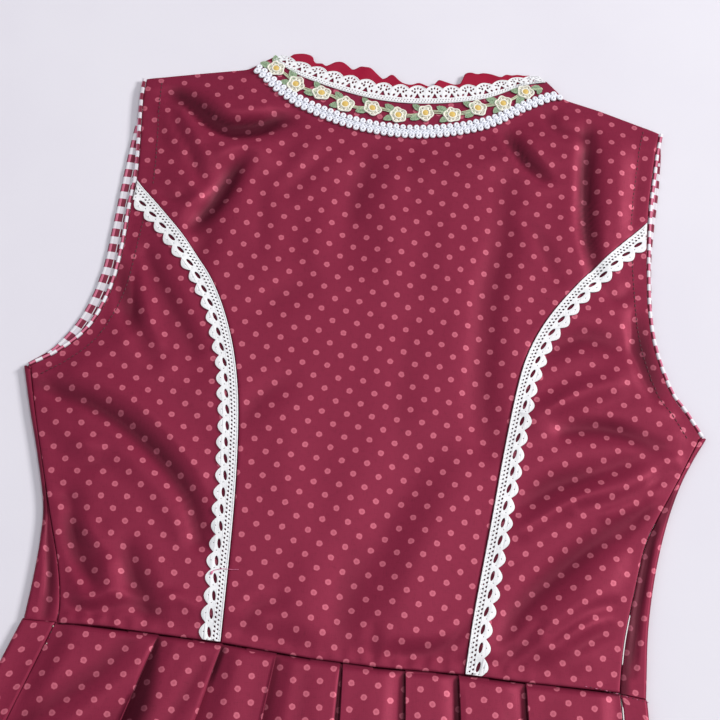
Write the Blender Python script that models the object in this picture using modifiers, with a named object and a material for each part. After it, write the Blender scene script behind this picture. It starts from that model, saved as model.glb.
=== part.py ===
# Dirndl dress laid flat on its front, with the back uppermost.
# +Y runs up the garment to the neck, +X to the wearer's right, and Z is up from the surface.
# The origin is on that surface, under the middle of the waist seam.
# Sizes and tables are in millimetres, and MM turns them into metres.

import math

import bmesh
import bpy
import numpy as np

MM = 0.001

# Cloth thicknesses and the gaps that are left where pieces are sewn together
BODICE_WALL = 1.2
SKIRT_WALL = 1.0
TRIM_WALL = 1.0
SEAM_GAP = 0.3
WAIST_GAP = 0.5

# Heights above the surface
FRONT_TOP = BODICE_WALL
BACK_REST = 2.9
SHOULDER_REST = FRONT_TOP + SEAM_GAP
WAIST_REST = 4.8
SIDE_REST = 4.1
STRIP_REST = 3.4
LOWEST_BACK = FRONT_TOP + 0.5
TRIM_REST = BACK_REST + BODICE_WALL + SEAM_GAP

# Skirt
SKIRT_LENGTH = 600.0
PLEAT_PITCH_WAIST = SKIRT_WALL + 0.35
PLEAT_PITCH_HEM = 4.0
PLEAT_DEPTH_WAIST = 20.0
PLEAT_DEPTH_HEM = 14.0
FRONT_WAIST_DROP = 3.0
FRONT_SKIRT_LOW = SKIRT_WALL / 2
BACK_SKIRT_LOW = SKIRT_WALL + 2 * PLEAT_PITCH_WAIST + 0.4 + SKIRT_WALL / 2

# How many rows and columns the panels have
LACE_SCALLOPS = 30
FRONT_ROWS = LACE_SCALLOPS // 2
ARMHOLE_ROWS = 5
SHOULDER_COLUMNS = 3
NECK_COLUMNS = 8
SKIRT_ROWS = (0.0, 15.0, 60.0, 140.0, 250.0, 370.0, 490.0, 600.0)
FRONT_SKIRT_ROWS = (0.0, 60.0, 300.0, 600.0)

# Outlines of the laid dress, each side as it lies. Rows are x, y.
SIDES = {
    "left": {
        "princess_seam": (
            (-80.9, -0.1), (-82.0, 38.5), (-84.3, 98.3), (-88.6, 152.2), (-94.7, 190.6),
            (-104.4, 224.5), (-118.9, 256.3), (-138.6, 283.5), (-162.2, 309.9), (-185.5, 333.8),
        ),
        "armhole_above_seam": (
            (-185.5, 333.8), (-186.3, 349.3), (-188.0, 369.7), (-190.7, 400.1), (-191.4, 421.3),
        ),
        "armhole_below_seam": (
            (-185.5, 333.8), (-186.4, 313.8), (-186.7, 278.0), (-190.0, 244.7), (-200.1, 214.1),
            (-217.3, 193.4), (-236.2, 179.4),
        ),
        "side_seam": (
            (-187.1, -0.2), (-188.7, 19.0), (-194.3, 43.2), (-204.9, 75.5), (-216.8, 113.4),
            (-227.1, 146.5), (-236.2, 179.4),
        ),
        "outline": (
            (-209.8, -0.2), (-208.5, 29.5), (-208.5, 57.9), (-210.9, 82.9), (-220.8, 117.4),
            (-231.4, 149.6), (-240.4, 179.3),
        ),
        "front_armhole": (
            (-194.7, 330.2), (-195.6, 294.0), (-197.7, 258.7), (-206.3, 224.6), (-222.2, 197.7),
            (-240.5, 181.4),
        ),
        "front_armhole_above_seam": (
            (-194.7, 330.2), (-194.4, 349.2), (-193.7, 379.4), (-191.9, 406.3), (-191.4, 421.3),
        ),
        "front_seam": (
            (-89.3, -0.1), (-93.2, 88.2), (-105.6, 192.8), (-140.6, 281.7), (-194.7, 330.2),
        ),
        "shoulder": ((-191.4, 421.3), (-152.9, 431.3), (-116.0, 440.4)),
    },
    "right": {
        "princess_seam": (
            (78.7, 0.1), (81.0, 34.8), (88.0, 100.9), (93.2, 152.8), (99.4, 203.4),
            (106.0, 233.3), (118.0, 260.8), (137.3, 290.1), (159.5, 318.2), (186.9, 349.3),
        ),
        "armhole_above_seam": (
            (186.9, 349.3), (187.5, 369.1), (189.0, 388.1), (190.6, 409.1), (193.2, 427.3),
        ),
        "armhole_below_seam": (
            (186.9, 349.3), (187.2, 315.5), (189.4, 278.5), (194.9, 248.2), (206.5, 217.5),
            (217.9, 201.7), (229.6, 184.3),
        ),
        "side_seam": (
            (180.6, 0.2), (182.3, 32.8), (188.2, 70.0), (193.6, 100.1), (201.5, 120.7),
            (215.0, 150.1), (229.6, 184.3),
        ),
        "outline": (
            (198.5, 0.2), (198.4, 43.8), (202.1, 83.8), (208.5, 118.6), (216.7, 146.9),
            (225.2, 167.2), (233.9, 184.3),
        ),
        "front_armhole": (
            (190.9, 345.6), (189.5, 314.8), (191.6, 277.7), (197.1, 247.0), (208.5, 216.5),
            (220.4, 201.2), (234.0, 186.5),
        ),
        "front_armhole_above_seam": (
            (190.9, 345.6), (192.9, 366.1), (194.9, 390.6), (195.3, 411.6), (193.2, 427.3),
        ),
        "front_seam": (
            (87.7, 0.1), (92.9, 88.6), (107.0, 193.6), (143.9, 289.0), (190.9, 345.6),
        ),
        "shoulder": ((193.2, 427.3), (147.5, 440.7), (120.4, 446.9)),
    },
}

# Waist seam of the back. Rows are x, y.
WAIST = (
    (-213.6, 1.6), (-185.9, 2.6), (-134.9, 1.3), (-79.0, 0.1), (-22.4, -3.5), (22.3, -4.2),
    (74.5, -2.6), (118.4, -3.1), (180.1, -2.7), (199.6, -4.6),
)

# Neck band: the low edge of its braid and the top of its lace. Rows are x, y.
NECK_LOW = (
    (-116.0, 440.4), (-90.4, 421.6), (-49.8, 404.9), (-7.4, 399.5), (29.8, 403.7),
    (69.1, 418.2), (107.8, 442.2), (120.4, 446.9),
)
NECK_HIGH = (
    (-95.4, 456.7), (-50.1, 448.1), (-7.2, 443.6), (41.3, 449.5), (79.3, 460.0), (101.1, 464.7),
)
# Where each trim lies, as shares of the way from the low edge to the high one
BRAID_BAND = (0.0, 0.25)
FLOWER_BAND = (0.29, 0.66)
LACE_BAND = (0.70, 1.0)
NECK_EDGE = 0.80
FRILL_ROOT = 0.62
FRONT_NECK = ((-78.5, 352.4), (-61.2, 293.6), (2.0, 243.9), (66.0, 294.4), (84.5, 353.4))

# Folds of the back panels. Rows are height over the surrounding cloth, half width, path of x, y.
FOLDS = (
    (-3.1, 6.5, ((-164.5, 412.8), (-144.7, 394.4), (-124.4, 385.9), (-101.4, 392.2), (-90.1, 402.2))),
    (-2.6, 5.5, ((-112.2, 361.8), (-123.7, 329.4), (-140.3, 301.3))),
    (1.6, 10.0, ((-141.7, 369.9), (-122.6, 361.7), (-97.7, 369.1))),
    (-3.0, 6.5, ((-227.5, 167.6), (-191.6, 157.1), (-161.7, 142.5), (-133.6, 119.7), (-113.5, 95.2), (-103.2, 68.1))),
    (1.8, 9.0, ((-200.7, 179.5), (-165.7, 165.8), (-135.4, 142.6), (-112.2, 116.7))),
    (-2.6, 6.5, ((-194.4, 85.9), (-185.0, 54.0), (-166.9, 30.6))),
    (2.0, 8.0, ((-193.8, 42.2), (-173.8, 19.0), (-161.0, 24.8), (-161.9, 42.3))),
    (-1.8, 8.0, ((-149.4, 60.0), (-138.9, 33.5), (-127.7, 9.4))),
    (-1.8, 12.0, ((-168.6, 272.4), (-148.5, 225.4), (-125.3, 190.6))),
    (-1.5, 14.0, ((-16.0, 379.3), (-30.6, 338.3), (-26.4, 293.8))),
    (-2.4, 5.5, ((82.0, 407.1), (94.0, 387.4), (106.3, 375.3))),
    (-3.1, 6.5, ((140.3, 425.0), (140.4, 381.6), (143.5, 339.4), (151.9, 303.0))),
    (1.8, 9.0, ((163.4, 415.2), (163.0, 372.0), (164.3, 339.6))),
    (-2.8, 11.0, ((78.5, 365.4), (80.3, 322.4), (74.7, 273.7), (74.4, 233.1), (75.1, 193.5), (81.0, 161.3))),
    (-2.0, 16.0, ((38.2, 140.0), (20.1, 98.6), (1.1, 26.9))),
    (2.2, 20.0, ((65.4, 129.6), (44.4, 68.4), (28.4, 24.1))),
    (-2.4, 9.0, ((116.7, 233.3), (142.8, 249.0), (176.1, 244.7))),
    (2.6, 8.0, ((118.3, 178.5), (138.4, 203.6), (168.5, 219.1))),
    (-2.0, 9.0, ((128.4, 180.7), (160.2, 180.8), (195.9, 181.0))),
    (-1.9, 9.0, ((109.7, 117.3), (134.9, 135.1), (168.2, 150.9), (196.9, 165.9))),
    (2.0, 9.0, ((100.9, 93.7), (127.1, 117.4), (157.4, 134.1), (187.6, 146.8))),
    (-3.2, 8.5, ((193.0, 125.9), (170.3, 107.2), (149.9, 89.8), (131.6, 70.5), (112.3, 46.7), (102.7, 23.2))),
    (2.4, 12.0, ((179.4, 82.7), (152.6, 53.6), (132.2, 29.0))),
)
FULLNESS = 1.9

# Skirt fan. Rows are place on the waist, angle away from straight down in degrees, and kind.
SKIRT_FAN = (
    ("left outline", -210.9, -17.3, "outline"),
    ("left side seam", -188.7, -16.7, "side"),
    ("outer left pleat", -120.9, -14.8, "faces right"),
    ("middle left pleat", -79.0, -12.2, "faces right"),
    ("inner left pleat", -43.8, -5.4, "faces right"),
    ("centre pleat, left edge", -2.1, 0.3, "faces right"),
    ("centre pleat, right edge", -1.1, 2.5, "faces left"),
    ("inner right pleat", 39.7, 4.5, "faces left"),
    ("middle right pleat", 74.4, 6.5, "faces left"),
    ("outer right pleat", 118.4, 6.9, "faces left"),
    ("right side seam", 181.0, 7.0, "side"),
    ("right outline", 199.2, 7.6, "outline"),
)
# The front's pleats, hidden under the back, between the same outlines
FRONT_PLEATS = (
    (-140.0, "faces right"), (-95.0, "faces right"), (-50.0, "faces right"),
    (50.0, "faces left"), (95.0, "faces left"), (140.0, "faces left"),
)

# Frill behind the neck lace. Rows are x of a wave, its rise over the lace, half width.
FRILL_WAVES = (
    (-82.1, 6.0, 11.0), (-52.1, 7.6, 9.6), (-31.5, 7.1, 7.5), (-11.2, 6.9, 5.5), (12.5, 3.5, 8.5),
    (29.8, 4.8, 6.4), (49.2, 7.6, 6.4), (63.2, 7.8, 7.5), (88.0, 2.5, 9.6),
)

# Zip in the right side seam
ZIP_TOP, ZIP_BOTTOM = 118.0, -130.0
ZIP_TAPE_WIDTH = 9.0
ZIP_REST = 1.5
ZIP_GAPES = ((33.0, 15.0), (-38.0, 26.0))
ZIP_GAPE_WIDTH = 0.9

PIPING_RADIUS = 1.0
FACING_WIDTH = 12.0
FACING_REST = FRONT_TOP + SEAM_GAP


# Curves and interpolation

def evenly(line, count):
    steps = np.linalg.norm(np.diff(line, axis=0), axis=1)
    along = np.concatenate([[0.0], np.cumsum(steps)])
    places = np.linspace(0.0, along[-1], count)
    return np.column_stack([np.interp(places, along, line[:, k]) for k in range(line.shape[1])])


def smooth_path(points, count, fine=16):
    p = np.array(points, float)
    ends = np.vstack([2 * p[0] - p[1], p, 2 * p[-1] - p[-2]])
    t = np.linspace(0.0, 1.0, fine, endpoint=False)[:, None]
    pieces = []
    for a, b, c, d in zip(ends[:-3], ends[1:-2], ends[2:-1], ends[3:]):
        linear = (c - a) * t
        square = (2 * a - 5 * b + 4 * c - d) * t**2
        cube = (3 * b - a - 3 * c + d) * t**3
        pieces.append(0.5 * (2 * b + linear + square + cube))
    return evenly(np.vstack(pieces + [p[-1:]]), count)


def smoothstep(t):
    t = np.clip(t, 0.0, 1.0)
    return t * t * (3.0 - 2.0 * t)


def table_value(table, x):
    rows = np.array(table, float)
    return np.interp(x, rows[:, 0], rows[:, 1])


def waist_y(x):
    return table_value(WAIST, x)


def side_sign(side):
    return -1.0 if side == "left" else 1.0


def offset_line(line, distance):
    along = np.gradient(line, axis=0)
    along /= np.linalg.norm(along, axis=1)[:, None]
    return line + distance * np.column_stack([along[:, 1], -along[:, 0]])


def patch(bottom, top, left, right):
    u = np.linspace(0.0, 1.0, len(bottom))[None, :, None]
    v = np.linspace(0.0, 1.0, len(left))[:, None, None]
    across = (1 - v) * bottom[None] + v * top[None]
    upward = (1 - u) * left[:, None] + u * right[:, None]
    low = (1 - u) * bottom[0] + u * bottom[-1]
    high = (1 - u) * top[0] + u * top[-1]
    return across + upward - (1 - v) * low - v * high


# Height of the back panels' underside over the surface

def fold_paths():
    for rise, width, path in FOLDS:
        line = smooth_path(path, 40)
        taper = np.sin(np.linspace(0.12, 0.88, len(line)) * math.pi) ** 0.6
        yield rise, width, line, taper


FOLD_LINES = tuple(fold_paths())


def folds_at(points):
    total = np.full(len(points), FULLNESS)
    for rise, width, line, taper in FOLD_LINES:
        away = np.linalg.norm(points[:, None] - line[None], axis=2)
        nearest = away.argmin(axis=1)
        total += rise * taper[nearest] * np.exp(-((away.min(axis=1) / width) ** 2))
    return total


def side_edge_x(side, y):
    outline = SIDES[side]
    lower = np.array(outline["side_seam"], float)
    upper = np.array(outline["armhole_below_seam"][::-1] + outline["armhole_above_seam"], float)
    line = np.vstack([lower, upper[1:]])
    return np.interp(y, line[:, 1], line[:, 0])


def top_edge_y(x):
    left = np.array(SIDES["left"]["shoulder"], float)
    right = np.array(SIDES["right"]["shoulder"][::-1], float)
    line = np.vstack([left, np.array(NECK_LOW, float)[1:-1], right])
    return np.interp(x, line[:, 0], line[:, 1])


def under_back(x, y):
    shape = np.shape(x)
    x, y = np.ravel(x).astype(float), np.ravel(y).astype(float)
    from_left = x - side_edge_x("left", y)
    from_right = side_edge_x("right", y) - x
    from_side = np.minimum(from_left, from_right)
    from_top = top_edge_y(x) - y
    from_waist = y - waist_y(x)
    fade = smoothstep((from_side - 2) / 16) * smoothstep((from_top - 24) / 16)
    fade *= smoothstep((from_waist - 1) / 16)
    level = BACK_REST + (WAIST_REST - BACK_REST) * smoothstep(1 - from_waist / 70)
    beside_seam = smoothstep(1 - from_side / 18) * smoothstep((170 - y) / 60)
    level = level + (SIDE_REST - level) * beside_seam
    shoulder = smoothstep(1 - from_top / 9) * smoothstep((np.abs(x) - 113) / 8)
    level = level + (SHOULDER_REST - level) * shoulder
    height = level + fade * folds_at(np.column_stack([x, y]))
    return np.maximum(height, np.where(shoulder > 0, SHOULDER_REST, LOWEST_BACK)).reshape(shape)


# Mesh building

def material_for(name, colour, roughness):
    material = bpy.data.materials.get(name) or bpy.data.materials.new(name)
    material.use_nodes = True
    shader = material.node_tree.nodes["Principled BSDF"]
    shader.inputs["Base Color"].default_value = (*colour, 1.0)
    shader.inputs["Roughness"].default_value = roughness
    shader.inputs["Metallic"].default_value = 0.0
    return material


CLOTH = ("dotted_cloth", (0.22, 0.022, 0.05), 0.45)
LACE = ("cotton_lace", (0.85, 0.85, 0.86), 0.9)
BRAID = ("white_braid", (0.82, 0.84, 0.9), 0.7)
FLOWERS = ("flower_trim", (0.6, 0.66, 0.5), 0.8)
FRILL = ("frill_satin", (0.38, 0.015, 0.055), 0.4)
CHECK = ("checked_cotton", (0.6, 0.3, 0.36), 0.7)
TAPE = ("zip_tape", (0.78, 0.76, 0.76), 0.8)


def add_object(name, mesh, finish, collection):
    mesh.materials.append(material_for(*finish))
    made = bpy.data.objects.new(name, mesh)
    collection.objects.link(made)
    return made


def grid_mesh(name, grid, skipped=()):
    rows, columns = grid.shape[:2]
    bm = bmesh.new()
    verts = [bm.verts.new(point * MM) for point in grid.reshape(-1, 3)]
    for i in range(rows - 1):
        for j in range(columns - 1):
            if (i, j) in skipped:
                continue
            corners = (i * columns + j, i * columns + j + 1, (i + 1) * columns + j + 1, (i + 1) * columns + j)
            bm.faces.new([verts[k] for k in corners])
    loose = [v for v in bm.verts if not v.link_faces]
    bmesh.ops.delete(bm, geom=loose, context="VERTS")
    mesh = bpy.data.meshes.new(name)
    bm.to_mesh(mesh)
    bm.free()
    return mesh


def raised_wall(name, grid, wall, finish, collection, skipped=()):
    # The grid is the underside, and the wall is drawn straight up from it.
    mesh = grid_mesh(name, grid, skipped)
    bm = bmesh.new()
    bm.from_mesh(mesh)
    made = bmesh.ops.extrude_face_region(bm, geom=bm.faces[:])
    top = [item for item in made["geom"] if isinstance(item, bmesh.types.BMVert)]
    bmesh.ops.translate(bm, verts=top, vec=(0.0, 0.0, wall * MM))
    bmesh.ops.recalc_face_normals(bm, faces=bm.faces[:])
    bm.to_mesh(mesh)
    bm.free()
    return add_object(name, mesh, finish, collection)


def folded_wall(name, grid, wall, finish, collection):
    # The grid is the middle of the cloth, which Solidify thickens to both sides.
    made = add_object(name, grid_mesh(name, grid), finish, collection)
    solidify = made.modifiers.new("Thickness", "SOLIDIFY")
    solidify.thickness = wall * MM
    solidify.offset = 0.0
    solidify.use_even_offset = True
    return made


def flat_wall(name, outline, low, wall, finish, collection):
    curve = bpy.data.curves.new(name, "CURVE")
    curve.dimensions = "2D"
    curve.fill_mode = "BOTH"
    curve.extrude = wall * MM / 2
    spline = curve.splines.new("POLY")
    spline.points.add(len(outline) - 1)
    for point, (x, y) in zip(spline.points, outline):
        point.co = (x * MM, y * MM, 0.0, 1.0)
    spline.use_cyclic_u = True
    made = add_object(name, curve, finish, collection)
    made.location.z = (low + wall / 2) * MM
    return made


def tube(name, line, radius, finish, collection):
    curve = bpy.data.curves.new(name, "CURVE")
    curve.dimensions = "3D"
    curve.bevel_depth = radius * MM
    curve.bevel_resolution = 1
    curve.use_fill_caps = True
    spline = curve.splines.new("POLY")
    spline.points.add(len(line) - 1)
    for point, place in zip(spline.points, line):
        point.co = (*(place * MM), 1.0)
    return add_object(name, curve, finish, collection)


# Neck curves

def neck_curve(share, count):
    low = smooth_path(NECK_LOW, count)
    high = smooth_path(NECK_HIGH, count)
    return (1 - share) * low + share * high


# Bodice back

def princess_line(side):
    line = smooth_path(SIDES[side]["princess_seam"], LACE_SCALLOPS + 1)
    line[0, 1] = waist_y(line[0, 0])
    return evenly(line, LACE_SCALLOPS + 1)


def side_seam_line(side):
    # The front's longer rows meet the back's at every second point.
    coarse = smooth_path(SIDES[side]["side_seam"], FRONT_ROWS + 1)
    coarse[0, 1] = waist_y(coarse[0, 0])
    places = np.linspace(0.0, FRONT_ROWS, LACE_SCALLOPS + 1)
    return np.column_stack([np.interp(places, np.arange(FRONT_ROWS + 1), coarse[:, k]) for k in (0, 1)])


def back_center_grid():
    lines = {}
    for side in ("left", "right"):
        seam = princess_line(side)
        armhole = smooth_path(SIDES[side]["armhole_above_seam"], ARMHOLE_ROWS + 1)
        inward = -side_sign(side) * SEAM_GAP / 2
        lines[side] = np.vstack([seam + (inward, 0.0), armhole[1:]])
    neck = neck_curve(NECK_EDGE, NECK_COLUMNS + 1)
    left_shoulder = evenly(np.array(SIDES["left"]["shoulder"], float), SHOULDER_COLUMNS + 1)
    right_shoulder = evenly(np.array(SIDES["right"]["shoulder"], float), SHOULDER_COLUMNS + 1)
    top = np.vstack([left_shoulder, neck, right_shoulder[::-1]])
    bottom = np.linspace(lines["left"][0], lines["right"][0], len(top))
    bottom[:, 1] = waist_y(bottom[:, 0]) + WAIST_GAP / 2
    for side, end in (("left", 0), ("right", -1)):
        lines[side][0] = bottom[end]
        lines[side][-1] = top[end]
    grid = patch(bottom, top, lines["left"], lines["right"])
    return np.dstack([grid, under_back(grid[..., 0], grid[..., 1])])


def back_center(collection):
    return raised_wall("back_center", back_center_grid(), BODICE_WALL, CLOTH, collection)


def lace_line(side, distance):
    # A line beside the princess seam, ended where it meets the armhole.
    seam = evenly(princess_line(side), 12 * LACE_SCALLOPS)
    line = offset_line(seam, -side_sign(side) * -distance)
    edge = side_edge_x(side, line[:, 1])
    inside = side_sign(side) * (edge - line[:, 0]) > 0.6
    last = len(line) if inside.all() or distance == 0 else int(np.argmin(inside | (line[:, 1] < 200)))
    line = evenly(line[:last], LACE_SCALLOPS + 1)
    line[0, 1] = waist_y(line[0, 0])
    return line


LACE_LINES = (0.0, 7.0, 10.3, 14.8)


def side_panel_grid(side):
    sign = side_sign(side)
    strip = [lace_line(side, distance) for distance in LACE_LINES]
    outer = side_seam_line(side) - (sign * SEAM_GAP / 2, 0.0)
    armhole = smooth_path(SIDES[side]["armhole_below_seam"], 200)
    start = np.linalg.norm(armhole - strip[-1][-1], axis=1).argmin()
    top = evenly(armhole[start:], 7)
    inner = strip[-1].copy()
    inner[-1] = top[0]
    bottom = np.linspace(inner[0], outer[0], len(top))
    bottom[:, 1] = waist_y(bottom[:, 0])
    inner[0], outer[0], outer[-1] = bottom[0], bottom[-1], top[-1]
    body = patch(bottom, top, inner, outer)
    seam_side = strip[0] + (sign * SEAM_GAP / 2, 0.0)
    grid = np.concatenate([np.stack([seam_side, strip[1], strip[2]], axis=1), body], axis=1)
    grid[0, :, 1] = waist_y(grid[0, :, 0]) + WAIST_GAP / 2
    return np.dstack([grid, under_back(grid[..., 0], grid[..., 1])])


def back_side(side, collection):
    grid = side_panel_grid(side)
    return raised_wall(f"back_side_{side}", grid, BODICE_WALL, CLOTH, collection)


def princess_lace(side, collection):
    # Scalloped lace on the side panel's own points: each row of the panel is one scallop with its eyelet.
    panel = side_panel_grid(side)[:, :4]
    panel[..., 2] += BODICE_WALL + SEAM_GAP + 0.1
    shares = (0.0, 0.28, 0.72)
    reach = (0.30, 0.78, 0.78)
    rows, skipped = [], set()
    for i in range(LACE_SCALLOPS):
        low, high = panel[i], panel[i + 1]
        for share, out in zip(shares, reach):
            row = (1 - share) * low + share * high
            row[3] = row[2] + out * (row[3] - row[2])
            rows.append(row)
        if i:
            skipped.add((3 * i + 1, 1))
    last = panel[-1].copy()
    last[3] = last[2] + reach[0] * (last[3] - last[2])
    grid = np.array(rows + [last])
    inset = grid[-1] - grid[-2]
    grid[-1] = grid[-2] + 0.8 * inset
    return raised_wall(f"princess_lace_{side}", grid, TRIM_WALL, LACE, collection, skipped)


# Bodice front, hidden but for the strips that wrap round to the back

def front_waist_y(x):
    return waist_y(x) - FRONT_WAIST_DROP * smoothstep((165 - np.abs(x)) / 60)


def zip_gape(y):
    total = np.zeros_like(y)
    for middle, half in ZIP_GAPES:
        total += ZIP_GAPE_WIDTH * smoothstep(1.3 - np.abs(y - middle) / half)
    return total


def front_seam_line(side):
    line = smooth_path(SIDES[side]["front_seam"], FRONT_ROWS + 1)
    line[0, 1] = front_waist_y(line[0, 0]) + WAIST_GAP / 2
    return line


def front_side(side, collection):
    sign = side_sign(side)
    inner = front_seam_line(side) + (sign * SEAM_GAP / 2, 0.0)
    outline = smooth_path(SIDES[side]["outline"], FRONT_ROWS + 1)
    seam = side_seam_line(side)[::2] + (sign * SEAM_GAP / 2, 0.0)
    if side == "right":
        seam[:, 0] += zip_gape(seam[:, 1])
    radius = STRIP_REST / 2
    turn = outline - (sign * (radius + BODICE_WALL / 2), 0.0)
    armhole = smooth_path(SIDES[side]["front_armhole"], 9)
    armhole[-1] = turn[-1]
    bottom = np.linspace(inner[0], turn[0], len(armhole))
    bottom[:, 1] = front_waist_y(bottom[:, 0]) + WAIST_GAP / 2
    inner[0], inner[-1], turn[0] = bottom[0], armhole[0], bottom[-1]
    flat = patch(bottom, armhole, inner, turn)
    flat = np.dstack([flat, np.full(flat.shape[:2], BODICE_WALL / 2)])
    # Round the fold, then back over the top to the side seam
    fold = []
    for angle in (45.0, 90.0, 135.0, 180.0):
        out = radius * math.sin(math.radians(angle))
        up = radius * (1 - math.cos(math.radians(angle)))
        place = turn + (sign * out, 0.0)
        fold.append(np.column_stack([place, np.full(len(place), BODICE_WALL / 2 + up)]))
    top_height = fold[-1][:, 2]
    middle = 0.5 * (turn + seam)
    width = np.abs(turn[:, 0] - seam[:, 0])
    gutter = 0.45 * smoothstep(width / 14)
    fold.append(np.column_stack([middle, top_height - gutter]))
    fold.append(np.column_stack([seam, top_height]))
    over = np.stack(fold, axis=1)
    over[0, :, 1] = front_waist_y(over[0, :, 0]) + WAIST_GAP / 2
    over[-1, :, 1] -= np.array([0.2, 0.5, 1.0, 1.6, 2.0, 2.4])
    grid = np.concatenate([flat, over], axis=1)
    if side == "left":
        grid = grid[:, ::-1]
    return folded_wall(f"front_side_{side}", grid, BODICE_WALL, CLOTH, collection)


def front_center(collection):
    left_seam = front_seam_line("left") + (SEAM_GAP / 2, 0.0)
    right_seam = front_seam_line("right") - (SEAM_GAP / 2, 0.0)
    left_up = smooth_path(SIDES["left"]["front_armhole_above_seam"], 6)
    right_up = smooth_path(SIDES["right"]["front_armhole_above_seam"], 6)
    ends = neck_curve(NECK_EDGE, 5)
    neck = smooth_path((ends[0] + (2, -3), *FRONT_NECK, ends[-1] - (2, 3)), 17)
    bottom = np.linspace(right_seam[0], left_seam[0], 9)[1:-1]
    bottom[:, 1] = front_waist_y(bottom[:, 0]) + WAIST_GAP / 2
    left_shoulder = np.array(SIDES["left"]["shoulder"], float)[1:]
    right_shoulder = np.array(SIDES["right"]["shoulder"], float)[1:]
    outline = np.vstack([
        left_seam, left_up[1:], left_shoulder, neck, right_shoulder[::-1], right_up[:0:-1], right_seam[::-1], bottom,
    ])
    return flat_wall("front_center", outline, 0.0, BODICE_WALL, CLOTH, collection)


# Armhole edges

def armhole_piping(side, collection):
    # Along the very edge points of the two panels that it binds
    column = 0 if side == "left" else -1
    above = back_center_grid()[:LACE_SCALLOPS - 1:-1, column]
    below = side_panel_grid(side)[-1]
    edge = np.vstack([above[:-1], 0.5 * (above[-1:] + below[:1]), below[1:]])
    line = offset_line(edge[:, :2], side_sign(side) * -(PIPING_RADIUS + SEAM_GAP + 0.1))
    heights = np.maximum(edge[:, 2] + BODICE_WALL / 2, FRONT_TOP + SEAM_GAP + PIPING_RADIUS + 0.1)
    places = np.column_stack([line, heights])
    places[-1] = 0.2 * places[-2] + 0.8 * places[-1]
    return tube(f"armhole_piping_{side}", places, PIPING_RADIUS, CHECK, collection)


def armhole_facing(side, collection):
    outline = SIDES[side]
    above = np.array(outline["front_armhole_above_seam"][::-1], float)
    below = np.array(outline["front_armhole"], float)
    edge = smooth_path(np.vstack([above, below[1:]]), 30)[3:-2]
    edge = offset_line(edge, side_sign(side) * 0.8)
    widths = FACING_WIDTH * smoothstep(np.linspace(0.35, 4.0, len(edge)))
    widths *= smoothstep(np.linspace(5.0, 0.35, len(edge)))
    along = np.gradient(edge, axis=0)
    along /= np.linalg.norm(along, axis=1)[:, None]
    inward = side_sign(side) * np.column_stack([along[:, 1], -along[:, 0]])
    inner = edge + inward * widths[:, None]
    grid = np.stack([edge, 0.5 * (edge + inner), inner], axis=1)
    grid = np.dstack([grid, np.full(grid.shape[:2], FACING_REST)])
    return raised_wall(f"armhole_facing_{side}", grid, TRIM_WALL, CHECK, collection)


# Neck trims, which lie on the flat cloth round the neck

def neck_strip(band, columns, inset):
    low = neck_curve(band[0], 400)
    high = neck_curve(band[1], 400)
    cut = slice(inset, 400 - inset)
    return evenly(low[cut], columns + 1), evenly(high[cut], columns + 1)


def neck_braid(collection):
    low, high = neck_strip(BRAID_BAND, 26, 8)
    grid = np.stack([low, 0.5 * (low + high), high], axis=1)
    grid = np.dstack([grid, np.full(grid.shape[:2], TRIM_REST)])
    return raised_wall("neck_braid", grid, 1.4, BRAID, collection)


FLOWERS_IN_TRIM = 11


def neck_flowers(collection):
    # A chain of blossoms and leaves: its edges swing with them, and its outer points rise at each blossom.
    columns = 4 * FLOWERS_IN_TRIM
    low, high = neck_strip(FLOWER_BAND, columns, 12)
    turn = np.arange(columns + 1) / 4.0 * 2 * math.pi
    blossom = 0.5 - 0.5 * np.cos(turn)
    swing = 0.13 * np.sin(turn / 2)
    half = 0.22 + 0.20 * blossom
    rows = []
    for place in (-1.0, -0.5, 0.5, 1.0):
        share = np.clip(0.5 + swing + place * half, 0.0, 1.0)[:, None]
        rows.append((1 - share) * low + share * high)
    grid = np.stack(rows, axis=1)
    mesh_grid = np.dstack([grid, np.full(grid.shape[:2], TRIM_REST)])
    made = raised_wall("neck_flowers", mesh_grid, TRIM_WALL, FLOWERS, collection)
    middle_low, middle_high = grid[:, 1], grid[:, 2]
    raised = {tuple(np.round(p, 2)) for i, p in enumerate(middle_low) if blossom[i] > 0.7}
    raised |= {tuple(np.round(p, 2)) for i, p in enumerate(middle_high) if blossom[i] > 0.7}
    for vertex in made.data.vertices:
        place = tuple(np.round(np.array(vertex.co[:2], float) / MM, 2))
        if vertex.co.z > (TRIM_REST + TRIM_WALL / 2) * MM and place in raised:
            vertex.co.z += 0.9 * MM
    return made


NECK_SCALLOPS = 16


def neck_lace(collection):
    columns = 4 * NECK_SCALLOPS
    low, high = neck_strip(LACE_BAND, columns, 6)
    arch = np.abs(np.sin(np.arange(columns + 1) / 4.0 * math.pi))
    reach = (0.80 + 0.22 * arch)[:, None]
    grid = np.stack([low, low + 0.5 * (high - low), low + reach * (high - low)], axis=1)
    grid = np.dstack([grid, np.full(grid.shape[:2], TRIM_REST)])
    return raised_wall("neck_lace", grid, TRIM_WALL, LACE, collection)


def frill_rise(x):
    total = np.full(len(x), -3.0)
    for middle, rise, half in FRILL_WAVES:
        wave = (rise + 3.0) * np.exp(-(((x - middle) / half) ** 4))
        total = np.maximum(total, wave - 3.0)
    return total


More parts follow.
